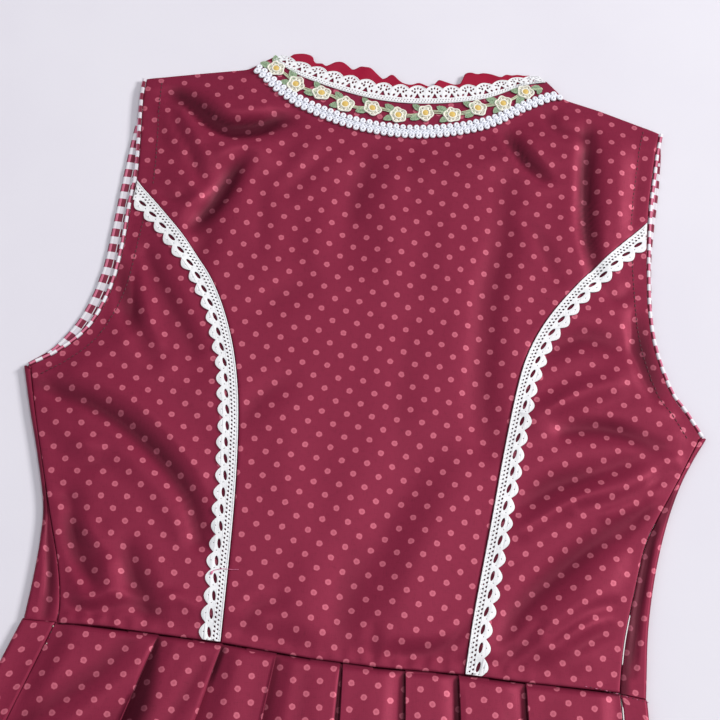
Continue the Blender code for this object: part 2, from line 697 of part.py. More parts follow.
def neck_frill(collection):
    columns = 42
    root = evenly(neck_curve(FRILL_ROOT, 400)[14:386], columns + 1)
    edge = evenly(neck_curve(NECK_EDGE + 0.06, 400)[14:386], columns + 1)
    top = evenly(neck_curve(1.0, 400)[14:386], columns + 1)
    rise = frill_rise(top[:, 0])
    outward = top - edge
    outward /= np.linalg.norm(outward, axis=1)[:, None]
    rim = top + outward * rise[:, None]
    wave = np.sin(np.arange(columns + 1) * math.pi / 3.0)
    low = FRONT_TOP + SEAM_GAP
    grid = np.stack([root, edge, 0.5 * (edge + rim), rim], axis=1)
    flat = np.full(columns + 1, low)
    heights = np.stack([flat, low + 0.1 + 0.1 * wave, low + 0.2 + 0.2 * wave, low + 0.6 + 0.5 * wave], axis=1)
    return raised_wall("neck_frill", np.dstack([grid, heights]), TRIM_WALL, FRILL, collection)


# Skirts

def fan_edges(row, kinds):
    # Where each named line of the fan lies at this distance below the waist
    places = []
    for _, start, angle, kind in SKIRT_FAN:
        if kind in kinds:
            places.append((start + row * math.sin(math.radians(angle)), kind))
    return places


def fan_point(x, row):
    # Height on the page of a point of the skirt, from the fan line through it
    starts = np.array([line[1] for line in SKIRT_FAN])
    angles = np.radians([line[2] for line in SKIRT_FAN])
    now = starts + row * np.sin(angles)
    start = np.interp(x, now, starts)
    angle = np.interp(x, now, angles)
    return waist_y(start) - row * np.cos(angle)


def fan_x(start, row):
    starts = [line[1] for line in SKIRT_FAN]
    angles = [line[2] for line in SKIRT_FAN]
    return start + row * math.sin(math.radians(float(np.interp(start, starts, angles))))


def pleat_pitch(row, hem_pitch):
    share = (row / SKIRT_LENGTH) ** 0.8
    return PLEAT_PITCH_WAIST + (hem_pitch - PLEAT_PITCH_WAIST) * share


def half_turn(x, z, radius, start, sweep):
    angles = np.radians(start + sweep * np.linspace(0.0, 1.0, 4))
    return [(x + radius * math.cos(a), z + radius * math.sin(a)) for a in angles]


def pleated_section(start, end, pleats, depth, pitch, edge_high):
    # x and height over the lowest layer. Each pleat is a flat Z of three layers.
    high, radius = 2 * pitch, pitch / 2
    edge = high if edge_high else 0.0
    points = [(start, edge)]
    leave, level = start + 2.0, edge
    for place, kind in [*pleats, (end, "edge")]:
        reach = {"faces right": place - depth - 2.0, "faces left": place - 2.0, "edge": end - 2.0}[kind]
        target = {"faces right": high, "faces left": 0.0, "edge": edge}[kind]
        reach = max(reach, leave + 1.0)
        points += [(leave, level), (0.5 * (leave + reach), 0.5 * (level + target)), (reach, target)]
        if kind == "faces right":
            points += half_turn(place - radius, 1.5 * pitch, radius, 90.0, -180.0)
            points += half_turn(place - depth + radius, 0.5 * pitch, radius, 90.0, 180.0)
            leave, level = place + 2.0, 0.0
        elif kind == "faces left":
            points += half_turn(place + depth - radius, 0.5 * pitch, radius, -90.0, 180.0)
            points += half_turn(place + radius, 1.5 * pitch, radius, 270.0, -180.0)
            leave, level = place + depth + 2.0, high
    return np.array(points + [(end, edge)])


def skirt_back(collection):
    sections = []
    for row in SKIRT_ROWS:
        share = row / SKIRT_LENGTH
        sides = [x for x, _ in fan_edges(row, ("side",))]
        pleats = fan_edges(row, ("faces right", "faces left"))
        depth = PLEAT_DEPTH_WAIST + (PLEAT_DEPTH_HEM - PLEAT_DEPTH_WAIST) * share
        pitch = pleat_pitch(row, PLEAT_PITCH_HEM)
        section = pleated_section(sides[0] + 0.2, sides[1] - 0.2, pleats, depth, pitch, False)
        y = fan_point(section[:, 0], row) - WAIST_GAP / 2
        sections.append(np.column_stack([section[:, 0], y, section[:, 1] + BACK_SKIRT_LOW]))
    return folded_wall("skirt_back", np.array(sections), SKIRT_WALL, CLOTH, collection)


def strip_over_fold(seam, outline, low, top, sign):
    # From the side seam on the top, over the fold and down to the underside
    radius = (top - low) / 2
    centre = outline - sign * (radius + SKIRT_WALL / 2)
    places = [(seam, top), (0.5 * (seam + centre), top - 0.7)]
    for angle in (90.0, 45.0, 0.0, -45.0, -90.0):
        out = radius * math.cos(math.radians(angle))
        up = radius * math.sin(math.radians(angle))
        places.append((centre + sign * out, (low + top) / 2 + up))
    return places


def skirt_front(collection):
    sections = []
    for row in FRONT_SKIRT_ROWS:
        seams = [x for x, _ in fan_edges(row, ("side",))]
        outlines = [x for x, _ in fan_edges(row, ("outline",))]
        pleats = [(fan_x(x, row), kind) for x, kind in FRONT_PLEATS]
        low, top = FRONT_SKIRT_LOW, BACK_SKIRT_LOW
        left = strip_over_fold(seams[0] - 0.2, outlines[0], low, top, -1.0)
        gape = 0.2 + (ZIP_GAPE_WIDTH if row < 100 else 0.0)
        right = strip_over_fold(seams[1] + gape, outlines[1], low, top, 1.0)
        pitch = PLEAT_PITCH_WAIST
        section = pleated_section(left[-1][0] + 3, right[-1][0] - 3, pleats, PLEAT_DEPTH_WAIST, pitch, True)
        under = [(x, low + 2 * pitch - z) for x, z in section]
        points = np.array(left + under + right[::-1])
        y = fan_point(points[:, 0], row) - WAIST_GAP / 2
        drop = FRONT_WAIST_DROP * smoothstep((165 - np.abs(points[:, 0])) / 60) * (1 - row / SKIRT_LENGTH)
        drop[points[:, 1] > BACK_SKIRT_LOW - 0.1] = 0.0
        sections.append(np.column_stack([points[:, 0], y - drop, points[:, 1]]))
    return folded_wall("skirt_front", np.array(sections), SKIRT_WALL, CLOTH, collection)


def side_zip(collection):
    # Both tapes of the concealed zip as one strip under the right side seam
    upper = np.array(SIDES["right"]["side_seam"], float)
    heights = np.linspace(ZIP_BOTTOM, ZIP_TOP, 10)
    places = []
    for y in heights:
        if y > 0:
            x = np.interp(y, upper[:, 1], upper[:, 0])
        else:
            x = fan_edges(-y, ("side",))[1][0]
        places.append((x + 0.4, y))
    middle = np.array(places)
    half = ZIP_TAPE_WIDTH / 2
    grid = np.stack([middle - (half, 0.0), middle + (half, 0.0)], axis=1)
    grid = np.dstack([grid, np.full(grid.shape[:2], ZIP_REST)])
    return raised_wall("side_zip", grid, TRIM_WALL, TAPE, collection)


def main():
    for old in list(bpy.data.objects):
        bpy.data.objects.remove(old)
    dress = bpy.data.collections.new("dirndl_dress")
    bpy.context.scene.collection.children.link(dress)
    back_center(dress)
    front_center(dress)
    for side in ("left", "right"):
        back_side(side, dress)
        front_side(side, dress)
        princess_lace(side, dress)
        armhole_piping(side, dress)
        armhole_facing(side, dress)
    neck_braid(dress)
    neck_flowers(dress)
    neck_lace(dress)
    neck_frill(dress)
    skirt_back(dress)
    skirt_front(dress)
    side_zip(dress)


main()
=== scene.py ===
import math

import bmesh
import bpy
import numpy as np
from mathutils import Matrix, Vector


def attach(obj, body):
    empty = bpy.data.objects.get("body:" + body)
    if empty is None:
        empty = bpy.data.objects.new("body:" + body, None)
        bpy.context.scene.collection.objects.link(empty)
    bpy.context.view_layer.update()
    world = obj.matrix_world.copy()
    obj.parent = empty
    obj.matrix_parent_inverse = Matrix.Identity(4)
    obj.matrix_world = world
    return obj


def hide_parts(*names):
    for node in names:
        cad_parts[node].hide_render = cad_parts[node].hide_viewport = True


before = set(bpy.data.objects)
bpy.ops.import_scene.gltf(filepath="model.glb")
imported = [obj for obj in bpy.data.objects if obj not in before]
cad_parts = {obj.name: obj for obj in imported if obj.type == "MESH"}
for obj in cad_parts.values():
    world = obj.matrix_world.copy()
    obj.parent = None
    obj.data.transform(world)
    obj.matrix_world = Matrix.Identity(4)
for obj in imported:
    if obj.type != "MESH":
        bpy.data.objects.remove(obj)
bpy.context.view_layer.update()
mm, tau = 0.001, math.tau
print("frame loaded")

# The laid dress, in millimetres: its outlines, each side as it lies. Rows are x, y.
sides = {
    "left": {
        "princess_seam": (
            (-80.9, -0.1), (-82.0, 38.5), (-84.3, 98.3), (-88.6, 152.2), (-94.7, 190.6),
            (-104.4, 224.5), (-118.9, 256.3), (-138.6, 283.5), (-162.2, 309.9), (-185.5, 333.8),
        ),
        "armhole_above_seam": (
            (-185.5, 333.8), (-186.3, 349.3), (-188.0, 369.7), (-190.7, 400.1), (-191.4, 421.3),
        ),
        "armhole_below_seam": (
            (-185.5, 333.8), (-186.4, 313.8), (-186.7, 278.0), (-190.0, 244.7), (-200.1, 214.1),
            (-217.3, 193.4), (-236.2, 179.4),
        ),
        "side_seam": (
            (-187.1, -0.2), (-188.7, 19.0), (-194.3, 43.2), (-204.9, 75.5), (-216.8, 113.4),
            (-227.1, 146.5), (-236.2, 179.4),
        ),
        "outline": (
            (-209.8, -0.2), (-208.5, 29.5), (-208.5, 57.9), (-210.9, 82.9), (-220.8, 117.4),
            (-231.4, 149.6), (-240.4, 179.3),
        ),
        "front_armhole": (
            (-194.7, 330.2), (-195.6, 294.0), (-197.7, 258.7), (-206.3, 224.6), (-222.2, 197.7),
            (-240.5, 181.4),
        ),
        "front_armhole_above_seam": (
            (-194.7, 330.2), (-194.4, 349.2), (-193.7, 379.4), (-191.9, 406.3), (-191.4, 421.3),
        ),
        "front_seam": (
            (-89.3, -0.1), (-93.2, 88.2), (-105.6, 192.8), (-140.6, 281.7), (-194.7, 330.2),
        ),
        "shoulder": ((-191.4, 421.3), (-152.9, 431.3), (-116.0, 440.4)),
    },
    "right": {
        "princess_seam": (
            (78.7, 0.1), (81.0, 34.8), (88.0, 100.9), (93.2, 152.8), (99.4, 203.4),
            (106.0, 233.3), (118.0, 260.8), (137.3, 290.1), (159.5, 318.2), (186.9, 349.3),
        ),
        "armhole_above_seam": (
            (186.9, 349.3), (187.5, 369.1), (189.0, 388.1), (190.6, 409.1), (193.2, 427.3),
        ),
        "armhole_below_seam": (
            (186.9, 349.3), (187.2, 315.5), (189.4, 278.5), (194.9, 248.2), (206.5, 217.5),
            (217.9, 201.7), (229.6, 184.3),
        ),
        "side_seam": (
            (180.6, 0.2), (182.3, 32.8), (188.2, 70.0), (193.6, 100.1), (201.5, 120.7),
            (215.0, 150.1), (229.6, 184.3),
        ),
        "outline": (
            (198.5, 0.2), (198.4, 43.8), (202.1, 83.8), (208.5, 118.6), (216.7, 146.9),
            (225.2, 167.2), (233.9, 184.3),
        ),
        "front_armhole": (
            (190.9, 345.6), (189.5, 314.8), (191.6, 277.7), (197.1, 247.0), (208.5, 216.5),
            (220.4, 201.2), (234.0, 186.5),
        ),
        "front_armhole_above_seam": (
            (190.9, 345.6), (192.9, 366.1), (194.9, 390.6), (195.3, 411.6), (193.2, 427.3),
        ),
        "front_seam": (
            (87.7, 0.1), (92.9, 88.6), (107.0, 193.6), (143.9, 289.0), (190.9, 345.6),
        ),
        "shoulder": ((193.2, 427.3), (147.5, 440.7), (120.4, 446.9)),
    },
}

# Waist seam of the back. Rows are x, y.
waist = (
    (-213.6, 1.6), (-185.9, 2.6), (-134.9, 1.3), (-79.0, 0.1), (-22.4, -3.5), (22.3, -4.2),
    (74.5, -2.6), (118.4, -3.1), (180.1, -2.7), (199.6, -4.6),
)

# Low edge of the neck braid
neckLow = (
    (-116.0, 440.4), (-90.4, 421.6), (-49.8, 404.9), (-7.4, 399.5), (29.8, 403.7),
    (69.1, 418.2), (107.8, 442.2), (120.4, 446.9),
)

# Top of the neck lace
neckHigh = (
    (-95.4, 456.7), (-50.1, 448.1), (-7.2, 443.6), (41.3, 449.5), (79.3, 460.0), (101.1, 464.7),
)

frontNeck = ((-78.5, 352.4), (-61.2, 293.6), (2.0, 243.9), (66.0, 294.4), (84.5, 353.4))

# Folds of the back panels. Rows are height over the surrounding cloth, half width, path of x, y.
folds = (
    (-3.1, 6.5, ((-164.5, 412.8), (-144.7, 394.4), (-124.4, 385.9), (-101.4, 392.2), (-90.1, 402.2))),
    (-2.6, 5.5, ((-112.2, 361.8), (-123.7, 329.4), (-140.3, 301.3))),
    (1.6, 10.0, ((-141.7, 369.9), (-122.6, 361.7), (-97.7, 369.1))),
    (-3.0, 6.5, (
        (-227.5, 167.6), (-191.6, 157.1), (-161.7, 142.5), (-133.6, 119.7), (-113.5, 95.2), (-103.2, 68.1),
    )),
    (1.8, 9.0, ((-200.7, 179.5), (-165.7, 165.8), (-135.4, 142.6), (-112.2, 116.7))),
    (-2.6, 6.5, ((-194.4, 85.9), (-185.0, 54.0), (-166.9, 30.6))),
    (2.0, 8.0, ((-193.8, 42.2), (-173.8, 19.0), (-161.0, 24.8), (-161.9, 42.3))),
    (-1.8, 8.0, ((-149.4, 60.0), (-138.9, 33.5), (-127.7, 9.4))),
    (-1.8, 12.0, ((-168.6, 272.4), (-148.5, 225.4), (-125.3, 190.6))),
    (-1.5, 14.0, ((-16.0, 379.3), (-30.6, 338.3), (-26.4, 293.8))),
    (-2.4, 5.5, ((82.0, 407.1), (94.0, 387.4), (106.3, 375.3))),
    (-3.1, 6.5, ((140.3, 425.0), (140.4, 381.6), (143.5, 339.4), (151.9, 303.0))),
    (1.8, 9.0, ((163.4, 415.2), (163.0, 372.0), (164.3, 339.6))),
    (-2.8, 11.0, ((78.5, 365.4), (80.3, 322.4), (74.7, 273.7), (74.4, 233.1), (75.1, 193.5), (81.0, 161.3))),
    (-2.0, 16.0, ((38.2, 140.0), (20.1, 98.6), (1.1, 26.9))),
    (2.2, 20.0, ((65.4, 129.6), (44.4, 68.4), (28.4, 24.1))),
    (-2.4, 9.0, ((116.7, 233.3), (142.8, 249.0), (176.1, 244.7))),
    (2.6, 8.0, ((118.3, 178.5), (138.4, 203.6), (168.5, 219.1))),
    (-2.0, 9.0, ((128.4, 180.7), (160.2, 180.8), (195.9, 181.0))),
    (-1.9, 9.0, ((109.7, 117.3), (134.9, 135.1), (168.2, 150.9), (196.9, 165.9))),
    (2.0, 9.0, ((100.9, 93.7), (127.1, 117.4), (157.4, 134.1), (187.6, 146.8))),
    (-3.2, 8.5, ((193.0, 125.9), (170.3, 107.2), (149.9, 89.8), (131.6, 70.5), (112.3, 46.7), (102.7, 23.2))),
    (2.4, 12.0, ((179.4, 82.7), (152.6, 53.6), (132.2, 29.0))),
)

# Skirt fan. Rows are name, place on the waist, angle away from straight down in degrees, and kind.
skirtFan = (
    ("left outline", -210.9, -17.3, "outline"),
    ("left side seam", -188.7, -16.7, "side"),
    ("outer left pleat", -120.9, -14.8, "faces right"),
    ("middle left pleat", -79.0, -12.2, "faces right"),
    ("inner left pleat", -43.8, -5.4, "faces right"),
    ("centre pleat, left edge", -2.1, 0.3, "faces right"),
    ("centre pleat, right edge", -1.1, 2.5, "faces left"),
    ("inner right pleat", 39.7, 4.5, "faces left"),
    ("middle right pleat", 74.4, 6.5, "faces left"),
    ("outer right pleat", 118.4, 6.9, "faces left"),
    ("right side seam", 181.0, 7.0, "side"),
    ("right outline", 199.2, 7.6, "outline"),
)

frontPleats = (
    (-140.0, "faces right"), (-95.0, "faces right"), (-50.0, "faces right"),
    (50.0, "faces left"), (95.0, "faces left"), (140.0, "faces left"),
)

# Heights, walls and gaps of the solids
bodiceWall, seamGap, waistGap = 1.2, 0.3, 0.5
frontTop, backRest, shoulderRest = 1.2, 2.9, 1.5
waistRest, sideRest, stripRest, lowestBack = 4.8, 4.1, 3.4, 1.7
fullness, neckEdge, frillRoot, frontWaistDrop = 1.9, 0.80, 0.62, 3.0
zipGapes, zipGapeWidth = ((33.0, 15.0), (-38.0, 26.0)), 0.9
braidBand, flowerBand, laceBand = (0.0, 0.25), (0.29, 0.66), (0.70, 1.0)

# Minor creases, left out of the heavy form. Rows are height, half width, path of x, y.
smallCreases = (
    (-1.7, 3.6, ((-170, 401), (-163, 383), (-151, 365), (-140, 339))),
    (1.2, 6.0, ((-163, 393), (-151, 376), (-140, 356))),
    (-1.4, 4.1, ((-165, 325), (-156, 322), (-148, 327))),
    (1.1, 6.0, ((-158, 341), (-149, 338), (-142, 326))),
    (1.0, 5.4, ((-151, 313), (-144, 319), (-136, 327))),
    (-1.1, 6.0, ((-184, 388), (-175, 376), (-167, 365))),
    (1.1, 8.4, ((-132, 413), (-113, 410), (-94, 408))),
    (1.4, 6.6, ((-139, 356), (-123, 365), (-106, 369), (-91, 363))),
    (-0.8, 6.6, ((-100, 344), (-93, 320), (-92, 292))),
    (-0.9, 6.0, ((-55, 372), (-65, 355), (-76, 338))),
    (0.8, 8.4, ((-41, 404), (-59, 384), (-75, 356))),
    (-0.8, 8.4, ((-19, 385), (-23, 355), (-28, 329))),
    (0.8, 9.6, ((-43, 335), (-50, 297), (-43, 266))),
    (-0.8, 10.8, ((-83, 243), (-70, 256), (-55, 266))),
    (-1.7, 5.0, ((76, 414), (91, 394), (112, 375))),
    (-1.7, 6.0, ((107, 436), (116, 420), (134, 417))),
    (1.0, 6.0, ((93, 410), (106, 396), (121, 392))),
    (0.5, 8.6, ((156, 397), (162, 368), (159, 340))),
    (-0.9, 5.0, ((181, 406), (180, 374), (175, 342))),
    (-1.4, 5.4, ((99, 340), (112, 317), (123, 294))),
    (1.0, 7.2, ((123, 350), (129, 325), (136, 312))),
    (0.8, 9.6, ((45, 360), (43, 318), (41, 269))),
    (-0.7, 7.2, ((12, 398), (11, 368), (15, 343))),
    (0.7, 10.8, ((-6, 353), (3, 312), (3, 264))),
    (-2.0, 7.2, ((-185, 265), (-176, 240), (-168, 218), (-154, 195))),
    (1.2, 4.6, ((-173, 252), (-163, 230), (-151, 208))),
    (-1.4, 5.4, ((-170, 275), (-155, 251), (-138, 226), (-126, 206))),
    (1.1, 6.6, ((-224, 155), (-207, 135), (-185, 123))),
    (1.1, 7.2, ((-188, 126), (-164, 120), (-138, 100), (-118, 72))),
    (-1.0, 7.2, ((-188, 110), (-177, 116), (-165, 111))),
    (-1.3, 4.3, ((-190, 74), (-179, 60), (-167, 45))),
    (1.1, 4.8, ((-198, 81), (-183, 69), (-172, 58))),
    (-1.5, 4.8, ((-207, 72), (-201, 53), (-192, 31))),
    (-1.4, 7.2, ((-152, 52), (-143, 35), (-130, 21))),
    (-1.2, 4.3, ((-190, 14), (-169, 12), (-149, 18), (-125, 15))),
    (1.0, 4.3, ((-124, 21), (-114, 27), (-104, 23))),
    (-1.0, 8.4, ((-88, 153), (-76, 174), (-61, 189))),
    (0.8, 13.2, ((-54, 164), (-54, 127), (-41, 85))),
    (-1.2, 5.4, ((-68, 12), (-62, 25), (-48, 32))),
    (-0.9, 9.6, ((-2, 68), (-3, 40), (-4, 10))),
    (0.8, 10.8, ((-30, 65), (-30, 37), (-25, 11))),
    (-1.4, 5.0, ((34, 7), (52, 10), (68, 19), (77, 31))),
    (-0.9, 4.3, ((17, 21), (17, 9), (18, 1))),
    (-0.8, 10.8, ((20, 242), (21, 188), (22, 144))),
    (-1.2, 4.8, ((155, 294), (166, 284), (181, 294))),
    (-1.9, 6.6, ((183, 264), (189, 237), (198, 213))),
    (-1.4, 5.4, ((134, 175), (160, 183), (188, 176), (208, 173))),
    (1.3, 6.0, ((114, 189), (142, 202), (167, 213))),
    (1.3, 6.0, ((112, 100), (139, 123), (170, 143), (211, 166))),
    (-1.1, 3.6, ((148, 121), (174, 130), (197, 145), (213, 158))),
    (1.0, 3.8, ((167, 118), (193, 135), (210, 151))),
    (-1.2, 8.4, ((113, 122), (126, 137), (148, 146))),
    (-1.1, 4.1, ((135, 29), (156, 48), (174, 57))),
    (0.9, 4.8, ((131, 19), (150, 34), (170, 46))),
    (-1.0, 4.1, ((143, 14), (160, 31), (172, 39))),
    (-1.3, 4.3, ((98, 6), (114, 20), (125, 37))),
    (-3.6, 7.5, ((-171, 411), (-152, 403), (-131, 387), (-110, 387), (-82, 399))),
    (-2.4, 8.5, ((-112, 364), (-122, 335), (-130, 306), (-133, 276))),
    (-1.2, 5.0, ((140, 416), (140, 365), (148, 298))),
    (-2.2, 8.0, ((184, 272), (188, 246), (198, 218))),
    (0.8, 1.6, ((-187, 2.4), (-177, 3.0), (-167, 3.2))),
    (-3.4, 4.0, ((-211, 77), (-203, 55), (-193, 29))),
    (-1.6, 7.0, ((-188, 269), (-182, 246), (-174, 223))),
)


def travelOf(line):
    # How far along a line each of its points lies
    return np.concatenate([[0.0], np.cumsum(np.linalg.norm(np.diff(line, axis=0), axis=1))])


def lengthOf(line):
    return float(travelOf(line)[-1])


def atShares(line, shares):
    along = travelOf(line)
    places = np.asarray(shares) * along[-1]
    return np.column_stack([np.interp(places, along, line[:, k]) for k in range(line.shape[1])])


def evenly(line, count):
    return atShares(line, np.linspace(0.0, 1.0, count))


def smoothPath(points, count, fine=16):
    p = np.array(points, float)
    ends = np.vstack([2 * p[0] - p[1], p, 2 * p[-1] - p[-2]])
    t = np.linspace(0.0, 1.0, fine, endpoint=False)[:, None]
    pieces = []
    for a, b, c, d in zip(ends[:-3], ends[1:-2], ends[2:-1], ends[3:]):
        linear = (c - a) * t
        square = (2 * a - 5 * b + 4 * c - d) * t**2
        cube = (3 * b - a - 3 * c + d) * t**3
        pieces.append(0.5 * (2 * b + linear + square + cube))
    return evenly(np.vstack(pieces + [p[-1:]]), count)


def roundAngles(count):
    return np.linspace(0.0, tau, count, endpoint=False)


def smoothstep(t):
    t = np.clip(t, 0.0, 1.0)
    return t * t * (3.0 - 2.0 * t)


def waistY(x):
    rows = np.array(waist, float)
    return np.interp(x, rows[:, 0], rows[:, 1])


def sideSign(side):
    return -1.0 if side == "left" else 1.0


def normalsOf(line):
    along = np.gradient(line, axis=0)
    along /= np.linalg.norm(along, axis=1)[:, None]
    return np.column_stack([along[:, 1], -along[:, 0]])


def offsetLine(line, distance):
    return line + distance * normalsOf(line)


def edgeShares(length, step, first=(0.5, 1.4)):
    # Even steps, with two short ones at each end so that a sewn edge can turn down
    count = max(3, round((length - 2 * first[-1]) / step))
    inner = np.linspace(first[-1], length - first[-1], count + 1)
    places = np.concatenate([[0.0, first[0]], inner, [length - first[0], length]])
    return places / length


def patch(bottom, top, left, right, u, v):
    u = np.asarray(u)[None, :, None]
    v = np.asarray(v)[:, None, None]
    across = (1 - v) * bottom[None] + v * top[None]
    upward = (1 - u) * left[:, None] + u * right[:, None]
    low = (1 - u) * bottom[0] + u * bottom[-1]
    high = (1 - u) * top[0] + u * top[-1]
    return across + upward - (1 - v) * low - v * high


def finePatch(bottom, top, left, right, step=2.5):
    # Each side is a dense line. They meet at the corners.
    u = edgeShares(0.5 * (lengthOf(bottom) + lengthOf(top)), step)
    v = edgeShares(max(lengthOf(left), lengthOf(right)), step)
    return patch(atShares(bottom, u), atShares(top, u), atShares(left, v), atShares(right, v), u, v)


# Slow, soft unevenness, the same on each run
def softNoise(x, y, scale, seed):
    rng = np.random.default_rng(seed)
    total = np.zeros(np.shape(x))
    for _ in range(7):
        angle, phase = rng.uniform(0, tau, 2)
        k = tau / (scale * rng.uniform(0.7, 1.6))
        total = total + np.sin(k * (math.cos(angle) * x + math.sin(angle) * y) + phase)
    return total / 3.0


def foldPaths(table, count):
    for rise, width, path in table:
        line = smoothPath(path, count)
        taper = np.sin(np.linspace(0.12, 0.88, count) * math.pi) ** 0.6
        yield rise, width, line, taper


foldLines = tuple(foldPaths(folds, 60))
smallLines = tuple(foldPaths(smallCreases, 40))


def reliefOf(points, lines, shoulder=0.0):
    total = np.zeros(len(points))
    for rise, width, line, taper in lines:
        reach = 3.6 * width
        low, high = line.min(axis=0) - reach, line.max(axis=0) + reach
        near = np.flatnonzero(((points > low) & (points < high)).all(axis=1))
        if not len(near):
            continue
        away = np.linalg.norm(points[near, None] - line[None], axis=2)
        nearest = away.argmin(axis=1)
        d = away.min(axis=1) / width
        profile = np.exp(-(d**2)) - shoulder * np.exp(-(((d - 1.9) / 0.8) ** 2))
        total[near] += rise * taper[nearest] * profile
    return total


def sideEdgeX(side, y):
    outline = sides[side]
    lower = np.array(outline["side_seam"], float)
    upper = np.array(outline["armhole_below_seam"][::-1] + outline["armhole_above_seam"], float)
    line = np.vstack([smoothPath(lower, 60), smoothPath(upper, 120)])
    return np.interp(y, line[:, 1], line[:, 0])


def topEdgeY(x):
    left = np.array(sides["left"]["shoulder"], float)
    right = np.array(sides["right"]["shoulder"][::-1], float)
    line = np.vstack([left, np.array(neckLow, float)[1:-1], right])
    return np.interp(x, line[:, 0], line[:, 1])


def paintedFoldShade(x, y):
    # How deep a point lies in a fold, from 0 to 1, plus a band along the waist seam: painted shade that
    # darkens the satin's colour there
    points = np.column_stack([np.ravel(x), np.ravel(y)]).astype(float)
    lines = [(rise * min(1.0, (6.5 / width) ** 1.6), width, *rest) for rise, width, *rest in foldLines]
    depth = -1.25 * reliefOf(points, lines, 0.16) - reliefOf(points, smallLines, 0.2)
    atWaist = np.exp(-(((points[:, 1] - waistY(points[:, 0])) / 1.8) ** 2))
    return np.clip((depth - 0.4) / 4.2 + 0.45 * atWaist, 0.0, 0.95).reshape(np.shape(x))


def backTop(x, y):
    # Height of the back's outer face: the solid's form, then creases and puckers that fade out at the seams
    shape = np.shape(x)
    x, y = np.ravel(x).astype(float), np.ravel(y).astype(float)
    fromSide = np.minimum(x - sideEdgeX("left", y), sideEdgeX("right", y) - x)
    fromTop = topEdgeY(x) - y
    fromWaist = y - waistY(x)
    fade = smoothstep((fromSide - 2) / 15) * smoothstep((fromTop - 7) / 15)
    fade *= smoothstep((fromWaist - 1) / 16)
    full = smoothstep((fromSide - 1) / 34) * smoothstep((fromTop - 4) / 34) * smoothstep((fromWaist - 1) / 24)
    level = backRest + (waistRest - backRest) * smoothstep(1 - fromWaist / 70)
    besideSeam = smoothstep(1 - fromSide / 18) * smoothstep((170 - y) / 60)
    level = level + (sideRest - level) * besideSeam
    shoulder = smoothstep(1 - fromTop / 9) * smoothstep((np.abs(x) - 113) / 8)
    level = level + (shoulderRest - level) * shoulder
    points = np.column_stack([x, y])
    height = level + full * (fullness + 1.4) + fade * 1.25 * reliefOf(points, foldLines, 0.16)
    height = np.maximum(height, np.where(shoulder > 0, shoulderRest, lowestBack))
    nearFade = smoothstep((fromSide - 1) / 7) * smoothstep((fromTop - 3) / 9) * smoothstep(fromWaist / 8)
    fine = 1.1 * reliefOf(points, smallLines, 0.2) * nearFade
    fine += 0.35 * softNoise(x, y, 62.0, 3) * nearFade
    # Puckers that the armhole's topstitching and the waist seam draw up
    alongSide = np.sin(y * tau / 9.5 + 1.6 * np.sin(y / 23.0)) * (0.6 + 0.4 * np.sin(y / 31.0 + 1.0))
    fine += 0.26 * alongSide * np.exp(-(((fromSide - 9.0) / 4.5) ** 2)) * smoothstep((y - 176) / 12)
    alongWaist = np.sin(x * tau / 11.5 + 1.8 * np.sin(x / 29.0)) * (0.55 + 0.45 * np.sin(x / 43.0))
    fine += 0.40 * alongWaist * np.exp(-(((fromWaist - 5.0) / 5.0) ** 2))
    fine += 1.0 * np.exp(-((np.maximum(fromWaist, 0) / 5.5) ** 2))
    top = height + bodiceWall + fine
    low = 2.45 + 1.5 * smoothstep(1.4 - fromSide / 18) * smoothstep((y - 165) / 20)  # what lies under it
    top = np.where(top < low + 0.6, low + 0.6 * np.exp((top - low - 0.6) / 0.6), top)
    return np.where(shoulder > 0, height + bodiceWall + fine, top).reshape(shape)


def turnedDown(grid, depth=0.55):
    # The waist seam and the long seams turn down a little, so that each reads as a soft groove
    for k, drop in enumerate((1.0, 0.45, 0.12)):
        for rim in (grid[k], grid[:, k], grid[:, -1 - k]):
            rim[..., 2] -= depth * drop
    return grid


# Mesh building

def linked(name, data):
    made = bpy.data.objects.new(name, data)
    bpy.context.scene.collection.objects.link(made)
    return made


def finishMesh(name, verts, faces, uv=None, material=None, tone=None):
    mesh = bpy.data.meshes.new(name)
    mesh.from_pydata([tuple(p) for p in np.asarray(verts) * mm], [], [tuple(map(int, f)) for f in faces])
    if uv is not None:
        layer = mesh.uv_layers.new(name="cloth")
        corners = np.empty(len(mesh.loops), dtype=np.int32)
        mesh.loops.foreach_get("vertex_index", corners)
        layer.data.foreach_set("uv", (np.asarray(uv)[corners] * mm).astype(np.float32).ravel())
    # The tone attribute holds painted shade, which the cloth's material reads to darken it in folds, pleats
    # and beside seams
    if tone is not None:
        attribute = mesh.attributes.new("tone", "FLOAT", "POINT")
        attribute.data.foreach_set("value", np.asarray(tone, np.float32))
    mesh.shade_smooth()
    mesh.update()
    if material:
        mesh.materials.append(material)
    return linked(name, mesh)


def gridNormals(grid):
    du = np.gradient(grid, axis=1)
    dv = np.gradient(grid, axis=0)
    normal = np.cross(du, dv)
    return normal / np.maximum(np.linalg.norm(normal, axis=2), 1e-9)[..., None]


